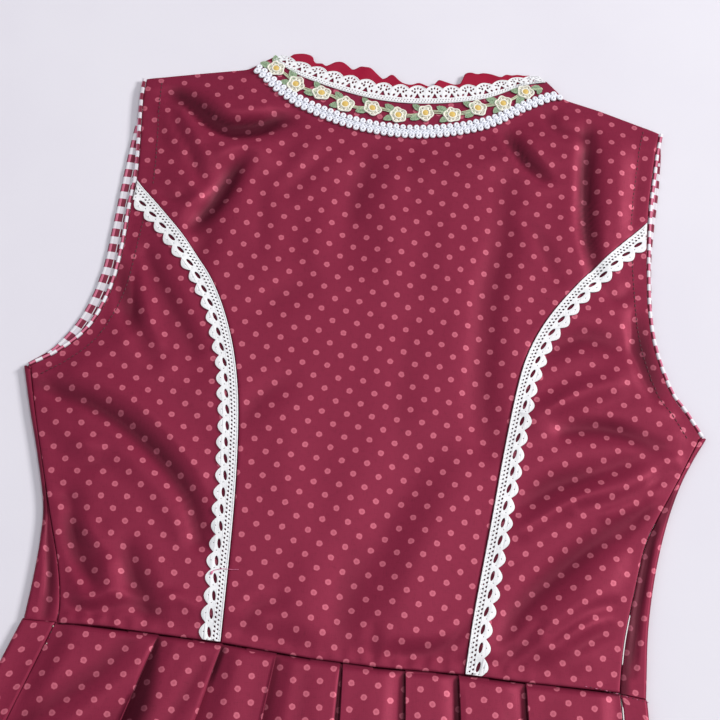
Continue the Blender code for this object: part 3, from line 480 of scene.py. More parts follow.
def shell(name, outer, wall, uv, material, straightDown=True, tone=None):
    # A thin closed wall under an outer face given as rows and columns of points
    rows, columns = outer.shape[:2]
    if straightDown:
        inner = outer - np.array([0.0, 0.0, wall])
    else:
        inner = outer - wall * gridNormals(outer)
        # Cloth on the floor has its wall straight above it
        onFloor = outer[..., 2] < 0.06
        inner[onFloor] = outer[onFloor] + (0.0, 0.0, wall)
        inner[..., 2] = np.maximum(inner[..., 2], 0.03)
    count = rows * columns
    index = np.arange(count).reshape(rows, columns)
    a, b = index[:-1, :-1].ravel(), index[:-1, 1:].ravel()
    c, d = index[1:, 1:].ravel(), index[1:, :-1].ravel()
    faces = [np.column_stack([a, b, c, d]), np.column_stack([d, c, b, a]) + count]
    ring = np.concatenate([index[0, :], index[1:, -1], index[-1, -2::-1], index[-2:0:-1, 0]])
    following = np.roll(ring, -1)
    faces.append(np.column_stack([ring + count, following + count, following, ring]))
    verts = np.concatenate([outer.reshape(-1, 3), inner.reshape(-1, 3)])
    both = np.concatenate([uv.reshape(-1, 2)] * 2)
    tones = None if tone is None else np.concatenate([tone.ravel()] * 2)
    return finishMesh(name, verts, np.concatenate(faces), both, material, tones)


def tubeFaces(rings, sides):
    # Quads between rings of points, and a cap on each end
    rows, k = np.arange(rings - 1)[:, None] * sides, np.arange(sides)[None]
    after = (k + 1) % sides
    quads = np.stack([rows + k, rows + after, rows + sides + after, rows + sides + k], axis=2)
    caps = [list(range(sides))[::-1], [(rings - 1) * sides + i for i in range(sides)]]
    return quads.reshape(-1, 4).tolist() + caps


def sweep(path, radii, sides=8):
    # Points, faces and uv of a closed tube along a path, with the uv along it and round it
    path = np.asarray(path, float)
    along = np.gradient(path, axis=0)
    along /= np.linalg.norm(along, axis=1)[:, None]
    up = np.tile([0.0, 0.0, 1.0], (len(path), 1))
    across = np.cross(along, up)
    across /= np.maximum(np.linalg.norm(across, axis=1), 1e-6)[:, None]
    up = np.cross(across, along)
    angle = roundAngles(sides)
    radii = np.broadcast_to(radii, (len(path),))
    ringX = np.cos(angle)[None, :, None] * across[:, None]
    ringZ = np.sin(angle)[None, :, None] * up[:, None]
    verts = (path[:, None] + radii[:, None, None] * (ringX + ringZ)).reshape(-1, 3)
    uv = np.broadcast_arrays(travelOf(path)[:, None], (angle * radii.mean())[None])
    return verts, tubeFaces(len(path), sides), np.stack(uv, axis=2).reshape(-1, 2)


def joinParts(parts):
    verts, faces, uv, start = [], [], [], 0
    for v, f, w in parts:
        verts.append(v)
        faces += [[i + start for i in face] for face in f]
        uv.append(w)
        start += len(v)
    return np.concatenate(verts), faces, np.concatenate(uv)


def feed(tree, node, inputs):
    # Link what is a socket, set what is a plain value, and pass over what isn't given
    for key, value in inputs.items():
        if isinstance(value, bpy.types.NodeSocket):
            tree.links.new(value, node.inputs[key])
        elif value is not None:
            node.inputs[key].default_value = value


def addNode(tree, kind, inputs=None, **settings):
    node = tree.nodes.new(kind)
    for key, value in settings.items():
        setattr(node, key, value)
    feed(tree, node, inputs or {})
    return node


def newGroup(name, inputs, outputs):
    # A group whose inputs with no value are vectors, and whose other sockets are numbers
    group = bpy.data.node_groups.new(name, "ShaderNodeTree")
    for label, value in inputs.items():
        kind = "NodeSocketVector" if value is None else "NodeSocketFloat"
        socket = group.interface.new_socket(name=label, in_out="INPUT", socket_type=kind)
        if value is not None:
            socket.default_value = value
    for label in outputs:
        group.interface.new_socket(name=label, in_out="OUTPUT", socket_type="NodeSocketFloat")
    return group, group.nodes.new("NodeGroupInput"), group.nodes.new("NodeGroupOutput")


def mathNode(tree, operation, *values):
    return addNode(tree, "ShaderNodeMath", dict(enumerate(values)), operation=operation).outputs[0]


def vectorNode(tree, operation, first, second=None, scale=None):
    inputs = {0: first, 1: second, "Scale": scale}
    node = addNode(tree, "ShaderNodeVectorMath", inputs, operation=operation)
    return node.outputs["Value" if operation == "LENGTH" else "Vector"]


def mixColour(tree, factor, first, second, blend="MIX"):
    inputs = {0: factor, 6: first, 7: second}
    return addNode(tree, "ShaderNodeMix", inputs, data_type="RGBA", blend_type=blend).outputs[2]


def ranged(tree, value, low, high, toLow=0.0, toHigh=1.0, smooth=True):
    inputs = {"Value": value, "From Min": low, "From Max": high, "To Min": toLow, "To Max": toHigh}
    kind = "SMOOTHSTEP" if smooth else "LINEAR"
    return addNode(tree, "ShaderNodeMapRange", inputs, interpolation_type=kind).outputs["Result"]


def noiseNode(tree, vector, scale, detail=2.0, roughness=0.5):
    inputs = {"Vector": vector, "Scale": scale, "Detail": detail, "Roughness": roughness}
    return addNode(tree, "ShaderNodeTexNoise", inputs).outputs["Fac"]


# Spots of a given radius in even rows, every second row shifted by half a step
def spotGroup():
    inputs = {"Vector": None, "Pitch": 0.017, "Radius": 0.002}
    group, entry, leave = newGroup("spots", inputs, ("Spot", "Core"))
    place, pitch = entry.outputs["Vector"], entry.outputs["Pitch"]
    wobble = addNode(group, "ShaderNodeTexNoise", {"Vector": place, "Scale": 700.0, "Detail": 1.0})
    shift = vectorNode(group, "SUBTRACT", wobble.outputs["Color"], (0.5, 0.5, 0.5))
    moved = vectorNode(group, "ADD", place, vectorNode(group, "SCALE", shift, scale=0.0009))
    scaled = vectorNode(group, "SCALE", moved, scale=mathNode(group, "DIVIDE", 1.0, pitch))
    away = []
    for start in ((0.0, 0.0, 0.0), (0.5, 0.5, 0.0)):
        inCell = vectorNode(group, "FRACTION", vectorNode(group, "ADD", scaled, start))
        centred = vectorNode(group, "SUBTRACT", inCell, (0.5, 0.5, 0.0))
        away.append(vectorNode(group, "LENGTH", vectorNode(group, "MULTIPLY", centred, (1.0, 1.0, 0.0))))
    nearest = mathNode(group, "MULTIPLY", mathNode(group, "MINIMUM", *away), pitch)
    share = mathNode(group, "DIVIDE", nearest, entry.outputs["Radius"])
    feed(group, leave, {"Spot": ranged(group, share, 1.12, 0.90), "Core": ranged(group, share, 0.62, 0.30)})
    return group


# Fine threads both ways, as a height and a tone
def weaveGroup():
    group, entry, leave = newGroup("weave", {"Vector": None, "Thread": 0.0004}, ("Height", "Tone"))
    perThread = mathNode(group, "DIVIDE", 1.0, entry.outputs["Thread"])
    threads = []
    for stretch in ((1.0, 0.07, 1.0), (0.07, 1.0, 1.0)):
        stretched = vectorNode(group, "MULTIPLY", entry.outputs["Vector"], stretch)
        threads.append(noiseNode(group, stretched, perThread, 1.0))
    both = mathNode(group, "ADD", *threads)
    cloudy = mathNode(group, "MULTIPLY", noiseNode(group, entry.outputs["Vector"], 260.0, 3.0, 0.65), 0.3)
    tone = mathNode(group, "ADD", mathNode(group, "MULTIPLY", both, 0.35), cloudy)
    feed(group, leave, {"Height": mathNode(group, "MULTIPLY", both, 0.5), "Tone": tone})
    return group


spots = spotGroup()
weave = weaveGroup()


def startMaterial(name):
    material = bpy.data.materials.new(name)
    material.use_nodes = True
    tree = material.node_tree
    return material, tree, tree.nodes["Principled BSDF"]


def useGroup(tree, group, inputs):
    return addNode(tree, "ShaderNodeGroup", inputs, node_tree=group)


def bumpInto(tree, shader, height, strength, distance):
    bump = addNode(tree, "ShaderNodeBump", {"Height": height, "Strength": strength, "Distance": distance})
    feed(tree, shader, {"Normal": bump.outputs["Normal"]})


dotSettings = {
    "pitch": 0.0173, "radius": 0.00205,
    "cloth": (0.228, 0.0182, 0.0505, 1.0), "deep": (0.146, 0.0103, 0.032, 1.0),
    "spot": (0.52, 0.122, 0.180, 1.0), "core": (0.43, 0.090, 0.140, 1.0),
    "roughness": 0.48, "satin": 0.24, "sheen": 0.02, "sheenTint": (0.95, 0.42, 0.55, 1.0),
}


def dottedCloth(name, settings, dotted=True):
    material, tree, shader = startMaterial(name)
    uv = addNode(tree, "ShaderNodeUVMap", uv_map="cloth").outputs["UV"]
    threads = useGroup(tree, weave, {"Vector": uv, "Thread": 0.00042})
    tone = ranged(tree, threads.outputs["Tone"], 0.18, 0.50, smooth=False)
    base = mixColour(tree, tone, settings["deep"], settings["cloth"])
    if dotted:
        dots = useGroup(tree, spots, {"Vector": uv, "Pitch": settings["pitch"], "Radius": settings["radius"]})
        wear = ranged(tree, threads.outputs["Tone"], 0.1, 0.32, 0.72, 1.0)
        worn = mathNode(tree, "MULTIPLY", dots.outputs["Spot"], wear)
        spotColour = mixColour(tree, dots.outputs["Core"], settings["spot"], settings["core"])
        base = mixColour(tree, worn, base, spotColour)
    # Painted shade: the colour is multiplied toward a dark grey where the mesh's tone attribute marks a fold,
    # a pleat or a seam
    paintedShadeAmount = addNode(tree, "ShaderNodeAttribute", attribute_name="tone").outputs["Fac"]
    base = mixColour(tree, paintedShadeAmount, base, mixColour(tree, 1.0, base, (0.30, 0.26, 0.30, 1.0), "MULTIPLY"))
    feed(tree, shader, {
        "Base Color": base, "Roughness": settings["roughness"], "Specular IOR Level": 0.12,
        "Metallic": settings.get("satin", 0.0),  # yarn that shines in its own colour
        "Sheen Weight": settings["sheen"], "Sheen Roughness": 0.35, "Sheen Tint": settings["sheenTint"],
    })
    bumpInto(tree, shader, threads.outputs["Height"], 0.35, 0.00022)
    return material


clothMaterial = dottedCloth("dotted_cloth_fine", dotSettings)


def place(piece, slot, *nodes):
    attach(piece, "root")
    if nodes:
        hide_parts(*nodes)
    return piece


# Bodice back

def princessLine(side, count=400):
    line = smoothPath(sides[side]["princess_seam"], count)
    line[0, 1] = waistY(line[0, 0])
    return evenly(line, count)


def armholeAbove(side, count=120):
    return smoothPath(sides[side]["armhole_above_seam"], count)


def shoulderLine(side, count):
    return evenly(np.array(sides[side]["shoulder"], float), count)


def neckCurve(share, count):
    return (1 - share) * smoothPath(neckLow, count) + share * smoothPath(neckHigh, count)


# Turn of each panel's rows of dots in degrees, and the place of one dot
dotRows = {
    "center": (0.0, 1.3, -3.0),
    "left": (4.5, 7.6, 0.8),
    "right": (-4.75, -6.8, -1.2),
}


def dotUv(x, y, turn, startX, startY):
    turn = math.radians(turn)
    x, y = x - startX, y - startY
    across, up = x * math.cos(turn) + y * math.sin(turn), y * math.cos(turn) - x * math.sin(turn)
    return np.stack([across, up], axis=-1)


def waistLine(x0, x1, count=200):
    x = np.linspace(x0, x1, count)
    return np.column_stack([x, waistY(x) + waistGap / 2])


def backLooks(grid, panel):
    # A back panel's outer face, where its dots lie, and its shade
    x, y = grid[..., 0], grid[..., 1]
    return turnedDown(np.dstack([grid, backTop(x, y)])), dotUv(x, y, *dotRows[panel]), paintedFoldShade(x, y)


def backCenter():
    lines = {}
    for side in ("left", "right"):
        inward = -sideSign(side) * seamGap / 2
        lines[side] = np.vstack([princessLine(side) + (inward, 0.0), armholeAbove(side)[1:]])
    neck = neckCurve(neckEdge, 300)
    top = np.vstack([shoulderLine("left", 60), neck, shoulderLine("right", 60)[::-1]])
    bottom = waistLine(lines["left"][0, 0], lines["right"][0, 0])
    for side, end in (("left", 0), ("right", -1)):
        lines[side][0] = bottom[end]
        lines[side][-1] = top[end]
    grid = finePatch(bottom, top, lines["left"], lines["right"], 2.6)
    outer, uv, tone = backLooks(grid, "center")
    piece = shell("back_center_cloth", outer, 1.0, uv, clothMaterial, tone=tone)
    place(piece, "dotted_cloth", "back_center")


def backSideGrid(side):
    sign = sideSign(side)
    inner = princessLine(side) + (sign * seamGap / 2, 0.0)
    outer = smoothPath(sides[side]["side_seam"], 200)
    outer[0, 1] = waistY(outer[0, 0])
    outer = outer - (sign * seamGap / 2, 0.0)
    top = smoothPath(sides[side]["armhole_below_seam"], 300)
    bottom = waistLine(inner[0, 0], outer[0, 0])
    inner[0], outer[0] = bottom[0], bottom[-1]
    inner[-1], outer[-1] = top[0], top[-1]
    return finePatch(bottom, top, inner, outer, 2.5)


def backSide(side):
    grid = backSideGrid(side)
    outer, uv, tone = backLooks(grid, side)
    # The cloth lies in the shade of the lace on it
    seam = princessLine(side, 200)
    away = [np.linalg.norm(seam - spot, axis=1).min() for spot in grid.reshape(-1, 2)]
    away = np.array(away).reshape(tone.shape)
    tone = np.maximum(tone, 0.8 * smoothstep((9.6 - away) / 1.2))
    if side == "left":
        outer, uv, tone = outer[:, ::-1], uv[:, ::-1], tone[:, ::-1]
    piece = shell(f"back_side_{side}_cloth", outer, 1.0, uv, clothMaterial, tone=tone)
    place(piece, "dotted_cloth", f"back_side_{side}")


backCenter()
for side in ("left", "right"):
    backSide(side)
print("bodice back")


# Bodice front. It lies under the back, and shows where it wraps round the side folds.

def frontWaistY(x):
    return waistY(x) - frontWaistDrop * smoothstep((165 - np.abs(x)) / 60)


def zipGape(y):
    total = np.zeros(np.shape(y))
    for middle, half in zipGapes:
        total = total + zipGapeWidth * smoothstep(1.3 - np.abs(y - middle) / half)
    return total


# Creases of the side strips. Rows are height, half width, path of x, y.
stripCreases = (
    (-1.5, 3.4, ((199.0, 117.9), (194.3, 83.9), (190.5, 49.9), (188.8, 11.8))),
    (0.7, 3.0, ((205.1, 103.8), (201.3, 69.8), (197.6, 29.8))),
    (-1.7, 3.4, ((-209.5, 92.0), (-207.5, 72.0), (-202.5, 52.0), (-196.5, 26.0), (-195.5, 6.0))),
    (0.8, 3.0, ((-207.2, 71.0), (-204.0, 44.7), (-202.9, 20.4))),
    (-0.8, 3.0, ((-223.7, 133.7), (-215.4, 107.4), (-207.3, 85.1))),
)
stripLines = tuple(foldPaths(stripCreases, 40))


def stripTop(x, y):
    shape = np.shape(x)
    points = np.column_stack([np.ravel(x), np.ravel(y)])
    return (stripRest + bodiceWall + reliefOf(points, stripLines, 0.2)).reshape(shape)


def paintedStripShade(side, outer, seamRows):
    # Shade in the strip's folds, and on the right beside the zip
    points = outer[..., :2].reshape(-1, 2)
    tone = -0.5 * reliefOf(points, stripLines, 0.2).reshape(outer.shape[:2])
    if side == "right":
        away = outer[..., 0] - seamRows[:, None, 0]
        y = outer[..., 1]
        fade = smoothstep((150 - y) / 16) * (1 - 0.3 * smoothstep((y - 90) / 40))
        tone = tone + 0.85 * smoothstep(1.5 - away / 5.5) * fade
    return np.clip(tone, 0.0, 0.9)


def frontSide(side):
    sign = sideSign(side)
    radius = (stripRest + bodiceWall) / 2
    inner = smoothPath(sides[side]["front_seam"], 300) + (sign * seamGap / 2, 0.0)
    outline = smoothPath(sides[side]["outline"], 200)
    seam = smoothPath(sides[side]["side_seam"], 200)
    seam[0, 1] = waistY(seam[0, 0])
    seam = seam + (sign * seamGap / 2, 0.0)
    if side == "right":
        seam[:, 0] += zipGape(seam[:, 1])
    turn = outline - (sign * radius, 0.0)
    armhole = smoothPath(sides[side]["front_armhole"], 300)
    bottom = np.linspace(inner[0], turn[0], 100)
    bottom[:, 1] = frontWaistY(bottom[:, 0]) + waistGap / 2
    armhole[-1] = turn[-1]
    inner[0], inner[-1], turn[0] = bottom[0], armhole[0], bottom[-1]
    v = edgeShares(190.0, 2.4)
    u = np.linspace(0.0, 1.0, 26)
    flat = patch(atShares(bottom, u), atShares(armhole, u), atShares(inner, v), atShares(turn, v), u, v)
    flat = np.dstack([flat, np.zeros(flat.shape[:2])])[:, ::-1]
    turnRows, seamRows = atShares(turn, v), atShares(seam, v)
    over = []
    shares = np.concatenate([[0.0, 0.04, 0.11], np.linspace(0.2, 1.0, 9)])
    for share in shares:
        spot = (1 - share) * seamRows + share * turnRows
        drop = {0.0: 0.55, 0.04: 0.25}.get(float(share), 0.0)
        blendOut = smoothstep((1 - share) / 0.35)
        height = stripTop(spot[:, 0], spot[:, 1])
        height = (stripRest + bodiceWall) + (height - stripRest - bodiceWall) * blendOut - drop
        over.append(np.column_stack([spot, height]))
    for angle in np.linspace(78.0, -78.0, 9):
        out = radius * math.cos(math.radians(angle))
        up = radius * math.sin(math.radians(angle))
        over.append(np.column_stack([turnRows + (sign * out, 0.0), np.full(len(v), radius + up)]))
    over = np.stack(over, axis=1)
    over[0, :, 1] = frontWaistY(over[0, :, 0]) + waistGap / 2
    over[-1, : len(shares), 1] -= np.linspace(2.4, 0.6, len(shares))
    outer = np.concatenate([over, flat], axis=1)
    steps = np.linalg.norm(np.diff(outer, axis=1), axis=2)
    across = np.concatenate([np.zeros((len(v), 1)), np.cumsum(steps, axis=1)], axis=1)
    lean = math.radians(14.0 if side == "left" else -10.0)
    along = np.repeat(seamRows[:, 1:], outer.shape[1], axis=1)
    uv, tone = np.dstack([sign * across + 7.0, along / math.cos(lean)]), paintedStripShade(side, outer, seamRows)
    if side == "left":
        outer, uv, tone = outer[:, ::-1], uv[:, ::-1], tone[:, ::-1]
    piece = shell(f"front_side_{side}_cloth", outer, 1.0, uv, clothMaterial, straightDown=False, tone=tone)
    place(piece, "dotted_cloth", f"front_side_{side}")


def frontCenter():
    # The hidden front, with a plain scooped neck
    left = smoothPath(sides["left"]["front_seam"], 300) + (seamGap / 2, 0.0)
    right = smoothPath(sides["right"]["front_seam"], 300) - (seamGap / 2, 0.0)
    leftUp = smoothPath(sides["left"]["front_armhole_above_seam"], 100)
    rightUp = smoothPath(sides["right"]["front_armhole_above_seam"], 100)
    ends = neckCurve(neckEdge, 5)
    neck = smoothPath((ends[0] + (2, -3), *frontNeck, ends[-1] - (2, 3)), 300)
    leftShoulder, rightShoulder = shoulderLine("left", 40)[1:], shoulderLine("right", 40)[1:]
    leftEdge = np.vstack([left, leftUp[1:]])
    rightEdge = np.vstack([right, rightUp[1:]])
    top = np.vstack([leftUp[-1:], leftShoulder, neck, rightShoulder[::-1], rightUp[-1:]])
    bottom = np.linspace(left[0], right[0], 200)
    bottom[:, 1] = frontWaistY(bottom[:, 0]) + waistGap / 2
    leftEdge[0], rightEdge[0] = bottom[0], bottom[-1]
    # Columns run from the waist to the neck or shoulder. The outer ones follow the side edges.
    u, v = np.linspace(0.0, 1.0, 121), np.linspace(0.0, 1.0, 101)
    grid = patch(atShares(bottom, u), atShares(top, u), atShares(leftEdge, v), atShares(rightEdge, v), u, v)
    outer = np.dstack([grid, np.zeros(grid.shape[:2])])[:, ::-1]
    uv = grid[:, ::-1].copy()
    piece = shell("front_center_cloth", outer, 1.0, uv, clothMaterial, straightDown=False)
    place(piece, "dotted_cloth", "front_center")


frontCenter()
for side in ("left", "right"):
    frontSide(side)
print("bodice front")


# Skirt. Its pleats are folded cloth, a Z of three layers each, that fan out from the waist seam.

skirtSettings = {
    "length": 600.0, "wall": 1.0, "pitchWaist": 1.35, "pitchHem": 4.0, "depthWaist": 20.0, "depthHem": 14.0,
    "low": 4.6, "rise": 15.0,
}

# Creases of the skirt's upper part. Rows are height, half width, path of x, y.
skirtCreases = (
    (-1.5, 7.0, ((-140.2, -7.9), (-158.2, -30.1), (-186.3, -56.4), (-214.4, -84.7))),
    (1.3, 8.0, ((-126.1, -14.0), (-150.1, -44.3), (-182.1, -78.6), (-208.1, -121.1))),
    (-1.3, 8.0, ((-134.0, -46.3), (-160.0, -78.6), (-185.9, -121.1))),
    (0.9, 6.0, ((-172.4, -14.0), (-188.4, -34.2), (-208.5, -54.4))),
    (-1.1, 5.0, ((-90.0, -14.0), (-97.9, -34.2), (-109.8, -60.4))),
    (0.8, 7.0, ((-65.9, -12.0), (-69.7, -60.4), (-81.4, -120.8))),
    (-0.7, 6.0, ((-23.9, -14.1), (-25.6, -60.4), (-29.2, -130.8))),
    (0.7, 8.0, ((20.1, -16.1), (22.4, -70.4), (26.8, -140.7))),
    (-0.7, 6.0, ((59.9, -12.1), (64.2, -60.3), (70.5, -120.5))),
    (-0.9, 5.0, ((103.6, -8.1), (107.7, -26.2), (111.8, -52.3))),
    (0.8, 8.0, ((147.3, -12.2), (153.5, -60.3), (161.9, -130.4))),
    (-0.8, 7.0, ((133.5, -20.2), (137.7, -70.3), (148.1, -140.4))),
)
skirtLines = tuple(foldPaths(skirtCreases, 40))

fanStarts, fanAngles = (np.array([line[k] for line in skirtFan]) for k in (1, 2))


def fanX(start, row):
    return start + row * math.sin(math.radians(float(np.interp(start, fanStarts, fanAngles))))


def fanLines(row, kinds):
    lines = [line[1:] for line in skirtFan if line[3] in kinds]
    return [(x + row * math.sin(math.radians(angle)), kind) for x, angle, kind in lines]


def fanY(x, row):
    angles = np.radians(fanAngles)
    now = fanStarts + row * np.sin(angles)
    start = np.interp(x, now, fanStarts)
    return waistY(start) - row * np.cos(np.interp(x, now, angles))


def arc(x, z, radius, start, sweepAngle, count=9):
    angles = np.radians(start + sweepAngle * np.linspace(0.0, 1.0, count))
    return [(x + radius * math.cos(a), z + radius * math.sin(a)) for a in angles]


def foldedSection(start, end, pleats, depth, pitch, rise, edgeHigh=False, columns=22):
    # x, height and panel number of each point across the cloth, from its left edge to its right one
    high, radius = 2 * pitch, pitch / 2
    edge = high if edgeHigh else 0.0
    points, panel = [(start, edge, 0)], 0
    leave, level = start + 0.6, edge
    for spot, kind in [*pleats, (end, "edge")]:
        reach = {"faces right": spot - radius, "faces left": spot - radius * 0.6, "edge": end - 0.6}[kind]
        target = {"faces right": high, "faces left": 0.0, "edge": edge}[kind]
        reach = max(reach, leave + 1.0)
        for share in np.linspace(0.0, 1.0, columns):
            x = leave + share * (reach - leave)
            away = (x - leave) if level < target else (reach - x)
            lift = smoothstep(away / min(rise, 0.8 * (reach - leave)))
            points.append((x, min(level, target) + abs(target - level) * lift, panel))
        if kind == "faces right":
            upper = arc(spot - radius, 1.5 * pitch, radius, 84.0, -168.0)
            lower = arc(spot - depth + radius, 0.5 * pitch, radius, 90.0, 180.0, 6)
            leave, level = spot - 2 * radius, 0.0
        elif kind == "faces left":
            upper = arc(spot + depth - radius, 0.5 * pitch, radius, -90.0, 180.0, 6)
            lower = arc(spot + radius, 1.5 * pitch, radius, 264.0, -168.0)
            leave, level = spot + radius, high
        else:
            break
        points += [(x, z, panel) for x, z in upper] + [(x, z, panel + 1) for x, z in lower]
        panel += 1
    return np.array(points + [(end, edge, panel)])


def pitchAt(row, settings):
    share = (row / settings["length"]) ** 0.45
    return settings["pitchWaist"] + (settings["pitchHem"] - settings["pitchWaist"]) * share


def skirtRows(length):
    near = [0.0, 0.7, 1.6, 3.2, 5.2]
    return np.array(near + list(np.arange(8.0, 96.0, 4.0)) + list(np.linspace(98.0, length, 32)))


# Turn of the rows of dots on each panel between two pleats, and the place of one dot
panelDots = (
    (5.0, -3.3, 0.9), (3.0, 3.9, 1.6), (5.2, 1.3, -5.8), (4.5, 1.7, 0.6), (0.0, 0.0, 0.0), (1.2, 5.7, 0.3),
    (-1.8, -0.5, 3.1), (-4.0, -2.2, -3.0), (-5.0, 1.1, 7.4),
)


def panelUv(x, y, panel):
    uv = np.zeros((len(x), 2))
    for k, row in enumerate(panelDots):
        here = panel == k
        uv[here] = dotUv(x[here], y[here], *row)
    return uv


# Shade in the pleats. Rows are width at the waist, growth away from it, strength, where it ends.
pleatShade = (
    (2.0, 0.26, 1.0, 220), (3.4, 0.0, 1.0, 36), (3.0, 0.08, 0.45, 150), (1.0, 0.02, 0.9, 250),
    (1.2, 0.02, 0.9, 250), (2.0, 0.03, 1.0, 250), (2.4, 0.06, 1.0, 280), (2.2, 0.03, 0.9, 260),
)


def paintedSkirtShade(x, row, pleats, relief):
    # Painted shade: darker in the skirt's creases, in a band along the waist seam, and in a widening band
    # beside each pleat's fold edge
    tone = np.clip((-relief - 0.2) / 3.5, 0.0, 0.8) + 0.7 * math.exp(-((row / 1.6) ** 2))
    for (spot, kind), (width, growth, strength, end) in zip(pleats, pleatShade):
        away = (x - spot if kind == "faces right" else spot - x) + 0.4
        reach = width + growth * min(row, 50.0)
        fade = smoothstep(row / 5 + 0.3) * smoothstep((end - row) / (0.5 * end))
        dark = strength * smoothstep(1.45 - away / reach) * fade
        tone = np.maximum(tone, np.where(away > -0.2, dark, 0.0))
    return np.minimum(tone, 1.0)


def skirtBack(settings):
    outer, uv, tones = [], [], []
    for row in skirtRows(settings["length"]):
        share = row / settings["length"]
        sideLines = [x for x, _ in fanLines(row, ("side",))]
        pleats = fanLines(row, ("faces right", "faces left"))
        depth = settings["depthWaist"] + (settings["depthHem"] - settings["depthWaist"]) * share
        pitch = pitchAt(row, settings)
        rise = settings["rise"] + 26.0 * share
        section = foldedSection(sideLines[0] + 0.2, sideLines[1] - 0.2, pleats, depth, pitch, rise)
        x, z, panel = section[:, 0], section[:, 1] + settings["low"], section[:, 2].astype(int)
        y = fanY(x, row) - waistGap / 2
        onTop = np.concatenate([[True], np.abs(np.diff(x)) > 0.9])
        relief = reliefOf(np.column_stack([x, y]), skirtLines, 0.15) + 0.35 * softNoise(x, y, 90.0, 8)
        raised = 0.4 + 0.6 * smoothstep((z - settings["low"]) / pitch)
        z = z + relief * onTop * smoothstep(row / 14) * raised
        pressed = (0.86 + 0.1 * np.sin(x / 13.0)) * math.exp(-((row / 2.1) ** 2))
        z = settings["low"] + (z - settings["low"]) * (1 - pressed) + 0.5
        tones.append(paintedSkirtShade(x, row, pleats, relief))
        outer.append(np.column_stack([x, y, z]))
        uv.append(panelUv(x, y, panel))
    outer, uv, tones = np.array(outer)[::-1], np.array(uv)[::-1], np.array(tones)[::-1]
    piece = shell("skirt_back_cloth", outer, 0.8, uv, clothMaterial, straightDown=False, tone=tones)
    place(piece, "dotted_cloth", "skirt_back")


def skirtFront(settings):
    top = settings["low"] + settings["wall"] / 2
    radius, pitch, shares = top / 2, settings["pitchWaist"], np.linspace(0.0, 1.0, 10)
    outer, uv = [], []
    for row in skirtRows(settings["length"]):
        seams = [x for x, _ in fanLines(row, ("side",))]
        outlines = [x for x, _ in fanLines(row, ("outline",))]
        pleats = [(fanX(x, row), kind) for x, kind in frontPleats]
        gape = 0.2 + (zipGapeWidth * smoothstep((130 - row) / 30) if row > 3 else 0.0)
        bow = 0.8 * smoothstep(row / 40)
        leftTurn, rightTurn = outlines[0] + radius, outlines[1] - radius
        strips = []
        for start, end in ((seams[0] - 0.2, leftTurn), (seams[1] + gape, rightTurn)):
            x = start * (1 - shares) + end * shares
            strips.append(list(zip(x, top - bow * np.sin(math.pi * shares))))
        section = strips[0] + arc(leftTurn, radius, radius, 100.0, 160.0, 9)
        depth, rise = settings["depthWaist"], settings["rise"]
        under = foldedSection(leftTurn + 2, rightTurn - 2, pleats, depth, pitch, rise, True, 10)
        section += [(x, 2 * pitch - z) for x, z, _ in under]
        section += arc(rightTurn, radius, radius, -80.0, 160.0, 9)
        section = np.array(section + strips[1][::-1])
        x, z = section[:, 0], section[:, 1]
        y = fanY(x, row) - waistGap / 2
        under = z < top - 2.0
        drop = frontWaistDrop * smoothstep((165 - np.abs(x)) / 60) * (1 - row / settings["length"])
        y = y - np.where(under, drop, 0.0)
        seamDip = 0.5 * math.exp(-((row / 1.1) ** 2))
        z = np.where(under, z, z - seamDip)
        outer.append(np.column_stack([x, y, z]))
        uv.append(np.column_stack([travelOf(section) + 5.0, np.full(len(x), -row + 4.0)]))
    outer, uv = np.array(outer), np.array(uv)
    piece = shell("skirt_front_cloth", outer, 0.8, uv, clothMaterial, straightDown=False)
    place(piece, "dotted_cloth", "skirt_front")


skirtBack(skirtSettings)
skirtFront(skirtSettings)
print("skirt")


# Trims. What repeats is one small piece, set out in rows and then bent onto the cloth.

def pieceTree(name, sizes, pointInputs):
    # A tree that sets a template on points, makes the copies real and gives them their material
    tree = bpy.data.node_groups.new(name, "GeometryNodeTree")
    labels = (("Geometry", "Geometry"), ("Template", "Object"), *sizes, ("Material", "Material"))
    for label, kind in labels:
        tree.interface.new_socket(name=label, in_out="INPUT", socket_type="NodeSocket" + kind)
    tree.interface.new_socket(name="Geometry", in_out="OUTPUT", socket_type="NodeSocketGeometry")
    entry, leave = tree.nodes.new("NodeGroupInput"), tree.nodes.new("NodeGroupOutput")
    inputs = {"Object": entry.outputs["Template"], "As Instance": True}
    template = addNode(tree, "GeometryNodeObjectInfo", inputs)
    inputs = {"Instance": template.outputs["Geometry"], **pointInputs(tree, entry)}
    placed = addNode(tree, "GeometryNodeInstanceOnPoints", inputs)
    real = addNode(tree, "GeometryNodeRealizeInstances", {"Geometry": placed.outputs[0]})
    inputs = {"Geometry": real.outputs[0], "Material": entry.outputs["Material"]}
    tree.links.new(addNode(tree, "GeometryNodeSetMaterial", inputs).outputs[0], leave.inputs[0])
    return tree


def evenRow(tree, entry):
    step = addNode(tree, "ShaderNodeCombineXYZ", {"X": entry.outputs["Step"]})
    inputs = {"Count": entry.outputs["Count"], "Offset": step.outputs[0]}
    return {"Points": addNode(tree, "GeometryNodeMeshLine", inputs).outputs["Mesh"]}


